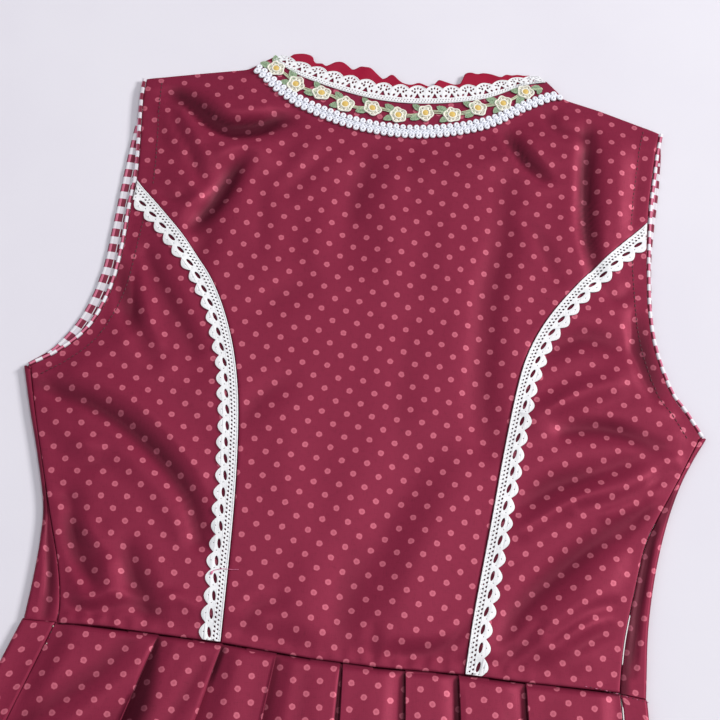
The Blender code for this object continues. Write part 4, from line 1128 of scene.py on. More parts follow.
def turnedPoints(tree, entry):
    # Each point has its own turn and size, and the sizes are a little uneven
    read = {}
    for name in ("turn", "size"):
        node = addNode(tree, "GeometryNodeInputNamedAttribute", {"Name": name}, data_type="FLOAT_VECTOR")
        read[name] = node.outputs["Attribute"]
    random = tree.nodes.new("FunctionNodeRandomValue")
    random.data_type = "FLOAT"
    floats = [socket for socket in random.inputs if socket.type == "VALUE"]
    for operation, socket in zip(("SUBTRACT", "ADD"), floats):
        tree.links.new(mathNode(tree, operation, 1.0, entry.outputs["Unevenness"]), socket)
    tree.links.new(entry.outputs["Seed"], random.inputs["Seed"])
    drawn = next(socket for socket in random.outputs if socket.type == "VALUE")
    scaled = vectorNode(tree, "SCALE", read["size"], scale=drawn)
    return {"Points": entry.outputs["Geometry"], "Rotation": read["turn"], "Scale": scaled}


rowsOfPieces = pieceTree("row of pieces", (("Count", "Int"), ("Step", "Float")), evenRow)
piecesOnPoints = pieceTree("pieces on points", (("Unevenness", "Float"), ("Seed", "Int")), turnedPoints)


def madePlain(holder, tree, values):
    # Run the tree on the holder, keep the outcome as its own mesh, and drop the template
    modifier = holder.modifiers.new("pieces", "NODES")
    modifier.node_group = tree
    for item in tree.interface.items_tree:
        if item.in_out == "INPUT" and item.name in values:
            modifier[item.identifier] = values[item.name]
    depsgraph = bpy.context.evaluated_depsgraph_get()
    made = bpy.data.meshes.new_from_object(holder.evaluated_get(depsgraph), depsgraph=depsgraph)
    holder.modifiers.clear()
    holder.data = made
    bpy.data.objects.remove(values["Template"])
    return holder


def rowOf(name, template, count, step, material):
    mesh = bpy.data.meshes.new(name)
    mesh.from_pydata([(0.0, 0.0, 0.0)], [], [])
    values = {"Template": template, "Count": count, "Step": step * mm, "Material": material}
    return madePlain(linked(name, mesh), rowsOfPieces, values)


def onPoints(name, template, points, turns, sizes, material, unevenness=0.0, seed=1):
    mesh = bpy.data.meshes.new(name)
    mesh.from_pydata([tuple(p) for p in np.asarray(points) * mm], [], [])
    for label, rows in (("turn", turns), ("size", sizes)):
        layer = mesh.attributes.new(label, "FLOAT_VECTOR", "POINT")
        layer.data.foreach_set("vector", np.asarray(rows, np.float32).ravel())
    values = {"Template": template, "Unevenness": unevenness, "Seed": seed, "Material": material}
    return madePlain(linked(name, mesh), piecesOnPoints, values)


def readPoints(piece):
    flat = np.empty(len(piece.data.vertices) * 3, np.float32)
    piece.data.vertices.foreach_get("co", flat)
    return flat.reshape(-1, 3).astype(float) / mm


def writePoints(piece, points):
    piece.data.vertices.foreach_set("co", (points * mm).astype(np.float32).ravel())
    piece.data.update()


def cutSheet(name, contours, wall, edge=0.12, span=None):
    # A thin sheet with soft edges. The first contour is its outline, and the rest are holes.
    # A span cuts its ends.
    curve = bpy.data.curves.new(name, "CURVE")
    curve.dimensions = "2D"
    curve.fill_mode = "BOTH"
    curve.extrude = (wall / 2 - edge) * mm
    curve.bevel_depth = edge * mm
    curve.bevel_resolution = 1
    curve.offset = -edge * mm
    for contour in contours:
        spline = curve.splines.new("POLY")
        spline.points.add(len(contour) - 1)
        spline.use_cyclic_u = True
        for point, (x, y) in zip(spline.points, contour):
            point.co = (x * mm, y * mm, 0.0, 1.0)
    holder = linked(name, curve)
    depsgraph = bpy.context.evaluated_depsgraph_get()
    mesh = bpy.data.meshes.new_from_object(holder.evaluated_get(depsgraph), depsgraph=depsgraph)
    bpy.data.objects.remove(holder)
    work = bmesh.new()
    work.from_mesh(mesh)
    bmesh.ops.remove_doubles(work, verts=work.verts, dist=1e-7)
    if span:
        for end, normal in ((span[0], (-1.0, 0.0, 0.0)), (span[1], (1.0, 0.0, 0.0))):
            everything = work.verts[:] + work.edges[:] + work.faces[:]
            at = (end * mm, 0.0, 0.0)
            bmesh.ops.bisect_plane(work, geom=everything, plane_co=at, plane_no=normal, clear_outer=True)
        # Each cut end is closed, with a sharp rim so that no line shows where two pieces meet
        rims = [rim for rim in work.edges if rim.is_boundary]
        bmesh.ops.holes_fill(work, edges=rims, sides=0)
        for rim in rims:
            rim.smooth = False
    layer = work.loops.layers.uv.new("cloth")
    for face in work.faces:
        face.smooth = True
        for loop in face.loops:
            loop[layer].uv = loop.vert.co.xy
    work.to_mesh(mesh)
    work.free()
    return linked(name, mesh)


def ellipse(x, y, halfX, halfY, turn=0.0, count=8, bend=0.0):
    angles = roundAngles(count)
    across, along = halfX * np.cos(angles), halfY * np.sin(angles)
    across = across + bend * ((along / halfY) ** 2)
    c, s = math.cos(math.radians(turn)), math.sin(math.radians(turn))
    return np.column_stack([x + across * c - along * s, y + across * s + along * c])


def closedTube(path, radius, sides=8, flat=1.0):
    path = np.asarray(path, float)
    along = np.roll(path, -1, axis=0) - np.roll(path, 1, axis=0)
    along /= np.linalg.norm(along, axis=1)[:, None]
    across = np.column_stack([along[:, 1], -along[:, 0], np.zeros(len(path))])
    angle = roundAngles(sides)
    ring = radius * np.cos(angle)[None, :, None] * across[:, None]
    ring = ring + (radius * flat * np.sin(angle))[None, :, None] * np.array([0.0, 0.0, 1.0])
    verts = (path[:, None] + ring).reshape(-1, 3)
    rows = np.arange(len(path))[:, None]
    k = np.arange(sides)[None, :]
    following, nextK = (rows + 1) % len(path), (k + 1) % sides
    corners = [rows * sides + k, rows * sides + nextK, following * sides + nextK, following * sides + k]
    quads = np.stack(np.broadcast_arrays(*corners), axis=2).reshape(-1, 4)[:, ::-1]
    step = np.linalg.norm(path[1] - path[0])
    uv = np.stack(np.broadcast_arrays(rows * step, (angle * radius)[None, :]), axis=2).reshape(-1, 2)
    return verts, [list(q) for q in quads], uv


def placeParts(name, parts, material, slot):
    return place(finishMesh(name, *joinParts(parts), material), slot)


def threadMaterial(name, colour, deep, width, bump, roughness, sheen):
    material, tree, shader = startMaterial(name)
    spot = addNode(tree, "ShaderNodeTexCoord").outputs["Object"]
    threads = useGroup(tree, weave, {"Vector": spot, "Thread": width})
    tone = ranged(tree, threads.outputs["Tone"], 0.2, 0.48, smooth=False)
    base = mixColour(tree, tone, (*deep, 1.0), (*colour, 1.0))
    feed(tree, shader, {"Base Color": base, "Roughness": roughness, "Sheen Weight": sheen})
    bumpInto(tree, shader, threads.outputs["Height"], bump, width * 0.6)
    return material


# Threads: material, colour, colour of its low places, width, bump, roughness, sheen
threadSettings = {
    "lace": ("cotton_lace_thread", (0.86, 0.87, 0.89), (0.66, 0.68, 0.72), 0.0007, 0.55, 0.88, 0.15),
    "braid": ("white_gimp", (0.84, 0.86, 0.93), (0.62, 0.66, 0.80), 0.0005, 0.5, 0.7, 0.2),
    "petal": ("cream_thread", (0.86, 0.84, 0.74), (0.60, 0.62, 0.46), 0.0006, 0.6, 0.72, 0.15),
    "gold": ("gold_thread", (0.72, 0.50, 0.13), (0.45, 0.27, 0.05), 0.0005, 0.7, 0.6, 0.1),
    "leaf": ("sage_thread", (0.33, 0.45, 0.29), (0.19, 0.29, 0.17), 0.0006, 0.6, 0.72, 0.15),
    "stem": ("pale_green_thread", (0.62, 0.66, 0.47), (0.38, 0.44, 0.26), 0.0005, 0.5, 0.72, 0.15),
    "stitch": ("burgundy_thread", (0.085, 0.006, 0.018), (0.045, 0.003, 0.010), 0.0003, 0.4, 0.55, 0.1),
    "tape": ("zip_tape_weave", (0.90, 0.88, 0.88), (0.80, 0.77, 0.79), 0.0008, 0.5, 0.85, 0.1),
    "pink": ("pink_thread", (0.66, 0.16, 0.30), (0.45, 0.08, 0.18), 0.0004, 0.4, 0.7, 0.1),
}
thread = {key: threadMaterial(*row) for key, row in threadSettings.items()}
frillMaterial = dottedCloth("red_satin", {
    "cloth": (0.33, 0.009, 0.038, 1.0), "deep": (0.22, 0.006, 0.026, 1.0), "roughness": 0.42, "sheen": 0.1,
    "sheenTint": (1.0, 0.4, 0.5, 1.0),
}, dotted=False)


# Checks: rows of dark blocks with a pink stripe between each pair, and pale rows between
def checkGroup():
    inputs = {"Vector": None, "Across": 0.0098, "Row": 0.0109}
    group, entry, leave = newGroup("checks", inputs, ("Row", "Pink", "Line"))
    parts = addNode(group, "ShaderNodeSeparateXYZ", {"Vector": entry.outputs["Vector"]})
    away = {}
    for axis, size in (("X", "Across"), ("Y", "Row")):
        cell = mathNode(group, "DIVIDE", parts.outputs[axis], entry.outputs[size])
        away[size] = mathNode(group, "SUBTRACT", mathNode(group, "FRACT", cell), 0.5)
        away[size] = mathNode(group, "ABSOLUTE", away[size])
    feed(group, leave, {
        "Row": ranged(group, away["Row"], 0.275, 0.255), "Pink": ranged(group, away["Across"], 0.115, 0.095),
        "Line": ranged(group, away["Across"], 0.462, 0.476),
    })
    return group


checks = checkGroup()

checkSettings = {
    "dark": (0.185, 0.012, 0.040, 1.0), "pink": (0.62, 0.16, 0.26, 1.0), "pale": (0.83, 0.81, 0.86, 1.0),
    "shade": (0.66, 0.62, 0.68, 1.0), "row": 0.0109, "across": 0.0098,
}


def checkedCloth(settings):
    material, tree, shader = startMaterial("small_checks")
    uv = addNode(tree, "ShaderNodeUVMap", uv_map="cloth").outputs["UV"]
    pattern = useGroup(tree, checks, {"Vector": uv, "Across": settings["across"], "Row": settings["row"]})
    threads = useGroup(tree, weave, {"Vector": uv, "Thread": 0.0005})
    columns = mixColour(tree, pattern.outputs["Pink"], settings["dark"], settings["pink"])
    columns = mixColour(tree, pattern.outputs["Line"], columns, settings["pale"])
    pale = mixColour(tree, pattern.outputs["Pink"], settings["shade"], settings["pale"])
    base = mixColour(tree, pattern.outputs["Row"], pale, columns)
    tone = ranged(tree, threads.outputs["Tone"], 0.15, 0.5, 0.80, 1.0)
    tones = addNode(tree, "ShaderNodeCombineColor", {"Red": tone, "Green": tone, "Blue": tone})
    base = mixColour(tree, 1.0, base, tones.outputs[0], "MULTIPLY")
    feed(tree, shader, {"Base Color": base, "Roughness": 0.8})
    bumpInto(tree, shader, threads.outputs["Height"], 0.4, 0.0003)
    return material


checkMaterial = checkedCloth(checkSettings)
print("trim materials")


# Lace beside the princess seams: a straight edge, rows of small holes, one long eyelet, and a lobe

princessUnit = {"count": 30, "step": 12.5, "valley": 10.3, "lobe": 3.8, "wall": 0.75, "over": 0.3}


def princessTemplate(settings):
    step = settings["step"]
    top = np.linspace(-1.0, step + 1.0, 33)
    rise = np.abs(np.sin(top / step * math.pi)) ** 0.9
    upper = np.column_stack([top, settings["valley"] + settings["lobe"] * rise])
    lower = np.column_stack([np.linspace(-1.0, step + 1.0, 9), 0.15 * np.sin(np.arange(9) * 1.7)])
    outline = np.vstack([lower, upper[::-1]])
    holes = []
    for k in range(4):
        s = (k + 0.5) * step / 4
        holes.append(ellipse(s + 0.9, 2.45, 0.82, 0.56, 35.0, 6))
        holes.append(ellipse(s - 0.5, 4.45, 0.98, 0.64, 30.0, 7))
        holes.append(ellipse(s + 0.2, 1.1, 0.28, 0.24, 0.0, 5))
    holes.append(ellipse(step / 2, 7.5, 3.7, 1.2, 9.0, 14))
    holes.append(ellipse(step / 2 + 0.3, 11.2, 0.42, 0.34, 0.0, 6))
    holes.append(ellipse(1.3, 8.6, 0.40, 0.32, 0.0, 6))
    return cutSheet("princess_lace_unit", [outline, *holes], settings["wall"], 0.14, (0.0, step))


def princessLace(side, settings):
    template, name = princessTemplate(settings), f"princess_lace_{side}_thread"
    piece = rowOf(name, template, settings["count"], settings["step"], thread["lace"])
    seam = princessLine(side, 600)
    sign = sideSign(side)
    outward = normalsOf(seam) * sign
    local = readPoints(piece)
    share = np.clip(local[:, 0] / (settings["count"] * settings["step"]), 0.0, 1.0)
    places = np.linspace(0.0, 1.0, len(seam))
    lean = 0.35 * np.sin(local[:, 0] * tau / 43.0) * smoothstep(local[:, 1] / 8)
    points = np.empty_like(local)
    for k in range(2):
        points[:, k] = np.interp(share, places, seam[:, k])
        points[:, k] += np.interp(share, places, outward[:, k]) * (local[:, 1] + 0.35 + lean)
    points[:, 1] = np.maximum(points[:, 1], waistY(points[:, 0]) + 0.4)
    edge = sideEdgeX(side, points[:, 1])
    past = sign * (points[:, 0] - edge) + 0.5
    points[:, 0] -= sign * np.maximum(past, 0.0)
    seamSide = points[:, 0] + sign * 2.0
    height = np.maximum(backTop(points[:, 0], points[:, 1]), backTop(seamSide, points[:, 1]))
    wave = 0.12 * np.sin(local[:, 0] * 0.55 + 1.0) * smoothstep((local[:, 1] - 6) / 6)
    points[:, 2] = height + settings["over"] + settings["wall"] / 2 + local[:, 2] + wave
    writePoints(piece, points)
    # What the armhole cuts off
    work = bmesh.new()
    work.from_mesh(piece.data)
    work.faces.ensure_lookup_table()
    gone = [face for face in work.faces if all(past[v.index] > 0.0 for v in face.verts)]
    bmesh.ops.delete(work, geom=gone, context="FACES")
    if sign < 0:
        bmesh.ops.reverse_faces(work, faces=work.faces[:])
    work.to_mesh(piece.data)
    work.free()
    return piece


def laceCord(side, settings):
    # The thick thread along the lace's straight edge, and a thin one above the eyelets
    seam = princessLine(side, 420)
    outward = normalsOf(seam) * sideSign(side)
    parts = []
    for across, radius, sides in ((0.75, 0.48, 7), (5.75, 0.24, 5)):
        line = seam + outward * across
        edge = sideEdgeX(side, line[:, 1])
        line = line[sideSign(side) * (edge - line[:, 0]) > 1.2]
        line[:, 1] = np.maximum(line[:, 1], waistY(line[:, 0]) + 0.5)
        top = backTop(line[:, 0] + sideSign(side) * 1.5, line[:, 1])
        height = top + settings["over"] + settings["wall"] - 0.05
        parts.append(sweep(np.column_stack([line, height]), radius, sides))
    placeParts(f"princess_cord_{side}", parts, thread["lace"], "cotton_lace")


for side in ("left", "right"):
    lace = princessLace(side, princessUnit)
    place(lace, "cotton_lace", f"princess_lace_{side}")
    laceCord(side, princessUnit)
print("princess lace")


# Neck: gimp braid, flower chain, scalloped lace, frill

trimRest = 4.4


def neckStrip(band, count, inset, sags=(3.7, 3.5)):
    # The trims hang lower between the shoulders than the band's own curves
    low, high = neckCurve(band[0], 400), neckCurve(band[1], 400)
    for line, sag in zip((low, high), sags):
        line[:, 1] -= sag * smoothstep((102 - np.abs(line[:, 0] + 8)) / 34)
    cut = slice(inset, 400 - inset)
    return evenly(low[cut], count), evenly(high[cut], count)


def alongStrip(low, high, share, across):
    # Places at shares of the strip's length and width, and which way the strip heads there
    places = np.linspace(0.0, 1.0, len(low))
    base = np.column_stack([np.interp(share, places, low[:, k]) for k in range(2)])
    top = np.column_stack([np.interp(share, places, high[:, k]) for k in range(2)])
    up = top - base
    across = np.broadcast_to(across, np.shape(share))[:, None]
    return base + up * across, np.arctan2(up[:, 1], up[:, 0]) - math.pi / 2


neckUnit = {"count": 16, "step": 13.0, "height": 13.2, "wall": 0.7, "valley": 0.80}


def neckTemplate(settings):
    step, full, middle = settings["step"], settings["height"], settings["step"] / 2
    top = np.linspace(-1.0, step + 1.0, 31)
    arch = np.abs(np.sin(top / step * math.pi)) ** 0.75
    upper = np.column_stack([top, full * (settings["valley"] + (1.0 - settings["valley"]) * arch)])
    lower = np.column_stack([np.linspace(-1.0, step + 1.0, 7), np.zeros(7)])
    holes = []
    for k in range(6):
        s = (k + 0.5) * step / 6
        holes.append(ellipse(s, 1.2, 0.52, 0.46, 45.0, 4))
        holes.append(ellipse(s + 0.7, 2.5, 0.54, 0.48, 45.0, 4))
    holes.append(np.array([(middle + x, y) for x, y in ((-2.2, 3.7), (2.2, 3.7), (0.3, 7.0), (-0.3, 7.0))]))
    for side in (-1, 1):
        holes.append(ellipse(middle + side * 2.1, 8.1, 0.80, 1.05, side * 20.0, 7))
        holes.append(ellipse(middle + side * 4.6, 5.2, 0.85, 1.15, side * 35.0, 7))
    for angle in (36.0, 63.0, 90.0, 117.0, 144.0):
        turn = math.radians(angle)
        x, y = middle + 5.0 * math.cos(turn), 6.0 + 5.0 * math.sin(turn)
        holes.append(ellipse(x, y, 0.66, 0.92, angle - 90, 7))
    outline = np.vstack([lower, upper[::-1]])
    return cutSheet("neck_lace_unit", [outline, *holes], settings["wall"], 0.12, (0.0, step))


def neckLace(settings):
    template, total = neckTemplate(settings), settings["count"] * settings["step"]
    piece = rowOf("neck_lace_thread", template, settings["count"], settings["step"], thread["lace"])
    low, high = neckStrip(laceBand, 600, 3, (4.4, 1.8))
    local = readPoints(piece)
    share = np.clip(local[:, 0] / total, 0.0, 1.0)
    points, _ = alongStrip(low, high, share, local[:, 1] / settings["height"])
    lift = 0.25 * smoothstep((local[:, 1] - 7) / 5) * np.sin(local[:, 0] * 0.21 + 0.7)
    writePoints(piece, np.column_stack([points, trimRest + settings["wall"] / 2 + local[:, 2] + lift]))
    place(piece, "cotton_lace", "neck_lace")
    # The thick thread on the scallops' rim and along the foot
    parts = []
    s = np.linspace(0.3, total - 0.3, settings["count"] * 22)
    arch = np.abs(np.sin(s / settings["step"] * math.pi)) ** 0.75
    rim = settings["valley"] + (1.0 - settings["valley"]) * arch
    for across, radius in ((rim - 0.035, 0.33), (0.045, 0.30)):
        line, _ = alongStrip(low, high, s / total, across)
        lift = 0.25 * smoothstep((across * settings["height"] - 7) / 5) * np.sin(s * 0.21 + 0.7)
        parts.append(sweep(np.column_stack([line, trimRest + settings["wall"] + lift]), radius, 6))
    placeParts("neck_lace_cord", parts, thread["lace"], "cotton_lace")


neckLace(neckUnit)

braidSettings = {"pitch": 5.15, "ring": 1.32, "tube": 1.0, "rows": (0.2, 0.8), "rest": 4.25}


def neckBraid(settings):
    low, high = neckStrip(braidBand, 500, 2)
    rest, ring = settings["rest"], settings["ring"]
    count = round(lengthOf(0.5 * (low + high)) / settings["pitch"])
    angles = roundAngles(14)
    circle = np.column_stack([ring * np.cos(angles), ring * np.sin(angles), 0 * angles])
    points, turns = [], []
    for across, start, lean in zip(settings["rows"], (0.7, 0.3), (0.10, -0.10)):
        spots, heading = alongStrip(low, high, (np.arange(count) + start) / count, across)
        points.append(np.column_stack([spots, np.full(count, rest + settings["tube"])]))
        turns.append(np.column_stack([np.full(count, lean), np.zeros(count), heading]))
    points, turns, sizes = np.vstack(points), np.vstack(turns), np.tile([1.0, 1.08, 0.95], (2 * count, 1))
    template = finishMesh("braid_loop", *closedTube(circle, settings["tube"], 8))
    loops = onPoints("neck_braid_loops", template, points, turns, sizes, thread["braid"], 0.06, 4)
    place(loops, "white_braid", "neck_braid")
    # A flat woven band, and cords plaited over it
    s = np.linspace(0.004, 0.996, count * 14)
    parts = []
    for phase in (0.0, math.pi):
        line, _ = alongStrip(low, high, s, 0.5 + 0.105 * np.sin(s * count * tau + phase))
        height = rest + 0.95 + 0.22 * np.cos(s * count * tau + phase)
        parts.append(sweep(np.column_stack([line, height]), 0.52, 6))
    for across in (0.35, 0.65):
        line, _ = alongStrip(low, high, s[::4], across)
        parts.append(sweep(np.column_stack([line, np.full(len(line), rest + 0.6)]), 0.45, 6))
    placeParts("neck_braid_cords", parts, thread["braid"], "white_braid")
    grid = np.stack([alongStrip(low, high, s[::6], across)[0] for across in (0.30, 0.5, 0.70)], axis=1)
    heights = rest + np.array([0.35, 0.55, 0.35])
    outer = np.dstack([grid, np.broadcast_to(heights, grid.shape[:2])])[:, ::-1]
    band = shell("neck_braid_band", outer, 0.3, grid[:, ::-1].copy(), thread["braid"])
    place(band, "white_braid")


neckBraid(braidSettings)

flowerSettings = {"count": 11, "swing": 0.13, "rest": 4.35}


def looseSheet(sheet, lift):
    # A cut sheet as a part to join, raised where lift says
    flat = readPoints(sheet)
    faces = [list(face.vertices) for face in sheet.data.polygons]
    bpy.data.objects.remove(sheet)
    flat[:, 2] += lift(flat)
    return flat, faces, flat[:, :2]


def petalTemplate():
    # Two loops of thick thread on an openwork disc
    angles = roundAngles(40)
    radius = 5.75 + 0.55 * np.cos(5 * angles + 0.6) + 0.35 * np.cos(2 * angles - 0.4)
    rim = np.column_stack([radius * np.cos(angles), radius * np.sin(angles)])
    holes = []
    for k in range(10):
        turn = tau * (k + 0.5) / 10
        reach = 4.45 + 0.4 * math.cos(5 * turn + 0.6)
        x, y = reach * math.cos(turn), reach * math.sin(turn)
        holes.append(ellipse(x, y, 0.62, 0.42, math.degrees(turn), 6))
    disc = cutSheet("petal_disc", [rim * 0.98, *holes], 0.6, 0.12)
    parts = [looseSheet(disc, lambda p: 0.30 + 0.35 * smoothstep(1 - np.linalg.norm(p[:, :2], axis=1) / 5.5))]
    parts.append(closedTube(np.column_stack([rim, 0.75 + 0.22 * np.cos(5 * angles)]), 0.68, 8))
    inner = np.column_stack([2.95 * np.cos(angles[::2]), 2.8 * np.sin(angles[::2]), np.full(20, 1.05)])
    parts.append(closedTube(inner, 0.66, 8))
    for k in range(10):
        turn = tau * k / 10
        ends = [[reach * math.cos(turn), reach * math.sin(turn), z] for reach, z in ((3.2, 1.0), (5.3, 0.9))]
        parts.append(sweep(np.array(ends), 0.26, 5))
    return finishMesh("petals", *joinParts(parts))


def centreTemplate():
    # A knotted dome
    rings, steps = 6, 20
    turns = tau * np.arange(steps) / steps
    verts = [np.array([[0.0, 0.0, 1.75]])]
    for i in range(1, rings + 1):
        share = i / rings
        knots = 0.16 * np.cos(7 * turns + 2.1 * i) * share * (1.2 - share)
        height = 0.55 + 1.2 * math.sqrt(1.02 - share**2) + knots
        verts.append(np.column_stack([2.75 * share * np.cos(turns), 2.75 * share * np.sin(turns), height]))
    faces = [[0, 1 + k, 1 + (k + 1) % steps] for k in range(steps)]
    for i in range(rings - 1):
        for k in range(steps):
            a, b = 1 + i * steps + k, 1 + i * steps + (k + 1) % steps
            faces.append([a, a + steps, b + steps, b])
    verts = np.concatenate(verts)
    return finishMesh("gold_centre", verts, faces, verts[:, :2])


def leafOutline(count=26):
    t = np.linspace(0.0, 1.0, count)
    half = 2.55 * np.sin(t**0.8 * math.pi) ** 0.8 + 0.16 * np.sin(t * 34.0) * np.sin(t * math.pi)
    upper = np.column_stack([8.4 * t, half])
    lower = np.column_stack([8.4 * t, -half])
    return np.vstack([upper[:-1], lower[:0:-1]])


def leafTemplate():
    outline = leafOutline()
    holes = [ellipse(x, y, 0.30, 0.26, 0.0, 5) for x in (2.4, 3.9, 5.4) for y in (-1.15, 1.15)]
    sheet = cutSheet("leaf_sheet", [outline, *holes], 0.5, 0.1)
    parts = [looseSheet(sheet, lambda p: 0.25 + 0.25 * np.sin(np.clip(p[:, 0] / 8.4, 0, 1) * math.pi))]
    rim = np.column_stack([outline * 0.97 + (0.1, 0.0), 0.45 + 0.25 * np.sin(outline[:, 0] / 8.4 * math.pi)])
    t = np.linspace(0, 1, 8)
    middle = np.column_stack([0.2 + 7.4 * t, np.zeros(8), 0.55 + 0.28 * np.sin(t * math.pi)])
    parts += [closedTube(rim, 0.34, 6), sweep(middle, 0.28, 6)]
    for k in range(5):
        x = 1.8 + 1.15 * k
        for side in (-1, 1):
            parts.append(sweep(np.array([(x, 0.0, 0.72), (x + 0.9, side * 1.7, 0.66)]), 0.17, 5))
    return finishMesh("leaf", *joinParts(parts))


# Each flower's turn in degrees, and its size both ways
flowerLooks = (
    (12, 0.96, 0.98), (95, 1.0, 1.04), (200, 1.05, 0.96), (40, 1.0, 1.05), (150, 1.04, 0.98),
    (260, 0.97, 1.02), (70, 1.03, 0.97), (180, 1.0, 1.05), (300, 1.04, 0.98), (20, 0.98, 1.0),
    (120, 0.95, 0.95),
)


def neckFlowers(settings):
    low, high = neckStrip(flowerBand, 500, 12)
    count = settings["count"]
    shares = (np.arange(count) + 0.5) / count
    shares = shares - 0.03 + 0.008 * shares
    swing = 0.46 + settings["swing"] * np.sin(shares * count * math.pi)
    spots, heading = alongStrip(low, high, shares, swing)
    looks = np.array(flowerLooks, float)
    points = np.column_stack([spots, np.full(count, settings["rest"])])
    turns = np.column_stack([np.zeros(count), np.zeros(count), heading + np.radians(looks[:, 0])])
    sizes = np.column_stack([looks[:, 1], looks[:, 2], np.ones(count)])
    petals = onPoints("neck_flower_petals", petalTemplate(), points, turns, sizes, thread["petal"], 0.03, 5)
    place(petals, "flower_trim", "neck_flowers")
    centres = onPoints("neck_flower_centres", centreTemplate(), points, turns, sizes, thread["gold"], 0.05, 9)
    place(centres, "flower_trim")
    # Two leaves point back from each flower, one toward each edge of the chain
    middle, heading = alongStrip(low, high, np.append(shares, 0.99), np.append(swing, 0.6))
    points, turns, sizes = [], [], []
    for k in range(count + 1):
        sizePair = (1.06, 0.88) if k % 2 else (0.88, 1.06)
        for angle, size in zip((146.0, -150.0), sizePair):
            turn = heading[k] + math.radians(angle)
            start = 4.3 if k < count else 0.0
            spot = middle[k] + start * np.array([math.cos(turn), math.sin(turn)])
            if k == count:
                size *= 0.8
            points.append((spot[0], spot[1], settings["rest"]))
            turns.append((0.0, 0.0, turn))
            sizes.append((size, size, 1.0))
    leaves = onPoints("neck_leaves", leafTemplate(), points, turns, sizes, thread["leaf"], 0.05, 12)
    place(leaves, "flower_trim")
    # Three stem threads run from flower to flower
    s = np.linspace(0.006, 0.994, 260)
    sway = 0.5 + settings["swing"] * 0.8 * np.sin(s * count * math.pi)
    parts = []
    for k, offset in enumerate((-0.065, 0.0, 0.065)):
        wobble = 0.012 * np.sin(s * 60 + k * 2.0)
        line, _ = alongStrip(low, high, s, sway + offset + wobble)
        parts.append(sweep(np.column_stack([line, np.full(len(s), settings["rest"] + 0.45)]), 0.36, 6))
    placeParts("neck_stems", parts, thread["stem"], "flower_trim")


neckFlowers(flowerSettings)


# Outline of the frill over the lace's top. Rows are x, rise.
frillOutline = (
    (-96, 1.0), (-93, 1.5), (-84, 6.9), (-78.9, 7.7), (-74.4, 6.6), (-72.3, 4.7), (-70.8, 1.4), (-63.5, 3.8),
    (-62, 0.9), (-60.7, 0.4), (-58, 6.1), (-53.1, 9.0), (-49.3, 8.5), (-43.1, 5.3), (-40.6, 3.6),
    (-39.6, 6.1), (-37.7, 9.2), (-28.9, 9.7), (-23.4, 6.3), (-17.2, 2.3), (-15.8, 1.3), (-13.9, 6.3),
    (-10.1, 8.0), (-8.2, 5.6), (-3, 1.0), (2, -0.5), (5.8, 0.1), (10.1, 2.4), (14.4, 0.4), (18.2, -2),
    (22.2, -0.9), (24.2, 4.7), (30.5, 2.7), (38, -0.1), (42.8, 0.7), (44.7, 7.6), (47.8, 9.6), (50.6, 9.8),
    (53.1, 9.2), (55.7, 7.3), (60.1, 8.5), (65, 7.3), (69.7, 4.0), (73.1, 1.3), (75.6, 3.9), (78.4, 4.1),
    (81, 2.6), (84.4, 3.4), (88.5, 3.0), (91, 1.8), (93.4, 2.4), (100.6, -1),
)


def frillRise(x):
    rows = np.array(frillOutline)
    near = [np.interp(x + shift, rows[:, 0], rows[:, 1]) for shift in (-1.8, -0.9, 0.0, 0.9, 1.8)]
    return sum(near) / 5


def neckFrill():
    columns = 260
    lines = [neckCurve(share, 400)[14:386] for share in (frillRoot, neckEdge + 0.06, 1.0)]
    root, edge, top = (evenly(line, columns) for line in lines)
    rise = frillRise(top[:, 0])
    outward = top - edge
    outward /= np.linalg.norm(outward, axis=1)[:, None]
    rim = top + outward * rise[:, None]
    wave = np.sin(np.linspace(0, 42, columns) * math.pi / 3.0)
    fine = np.sin(np.linspace(0, 42, columns) * 1.9 + 1.0)
    rows, heights = [], []
    for share in np.linspace(0.0, 1.0, 14):
        if share < 0.4:
            rows.append(root + (edge - root) * share / 0.4)
        else:
            rows.append(edge + (rim - edge) * (share - 0.4) / 0.6)
        heights.append(2.6 + share * (0.5 + 0.42 * wave + 0.12 * fine) - 0.1)
    grid = np.stack(rows, axis=1)
    outer = np.dstack([grid, np.stack(heights, axis=1)])[:, ::-1]
    piece = shell("neck_frill_cloth", outer, 0.7, grid[:, ::-1].copy(), frillMaterial)
    place(piece, "frill_satin", "neck_frill")


neckFrill()
print("neck trims")


# Armholes: piping, facing and topstitching

pipingSettings = {
    "half": 1.35, "height": 1.0, "sides": 12, "check": 9.8,
    "stripe": {"left": (0.72, 0.50), "right": (0.52, 0.56)},
}
facingSettings = {"width": 12.0, "rest": 2.55, "start": {"left": 3.1, "right": 1.5}}


def armholeEdge(side, count=400):
    above = armholeAbove(side)[::-1]
    below = smoothPath(sides[side]["armhole_below_seam"], 300)
    return evenly(np.vstack([above, below[1:]]), count)


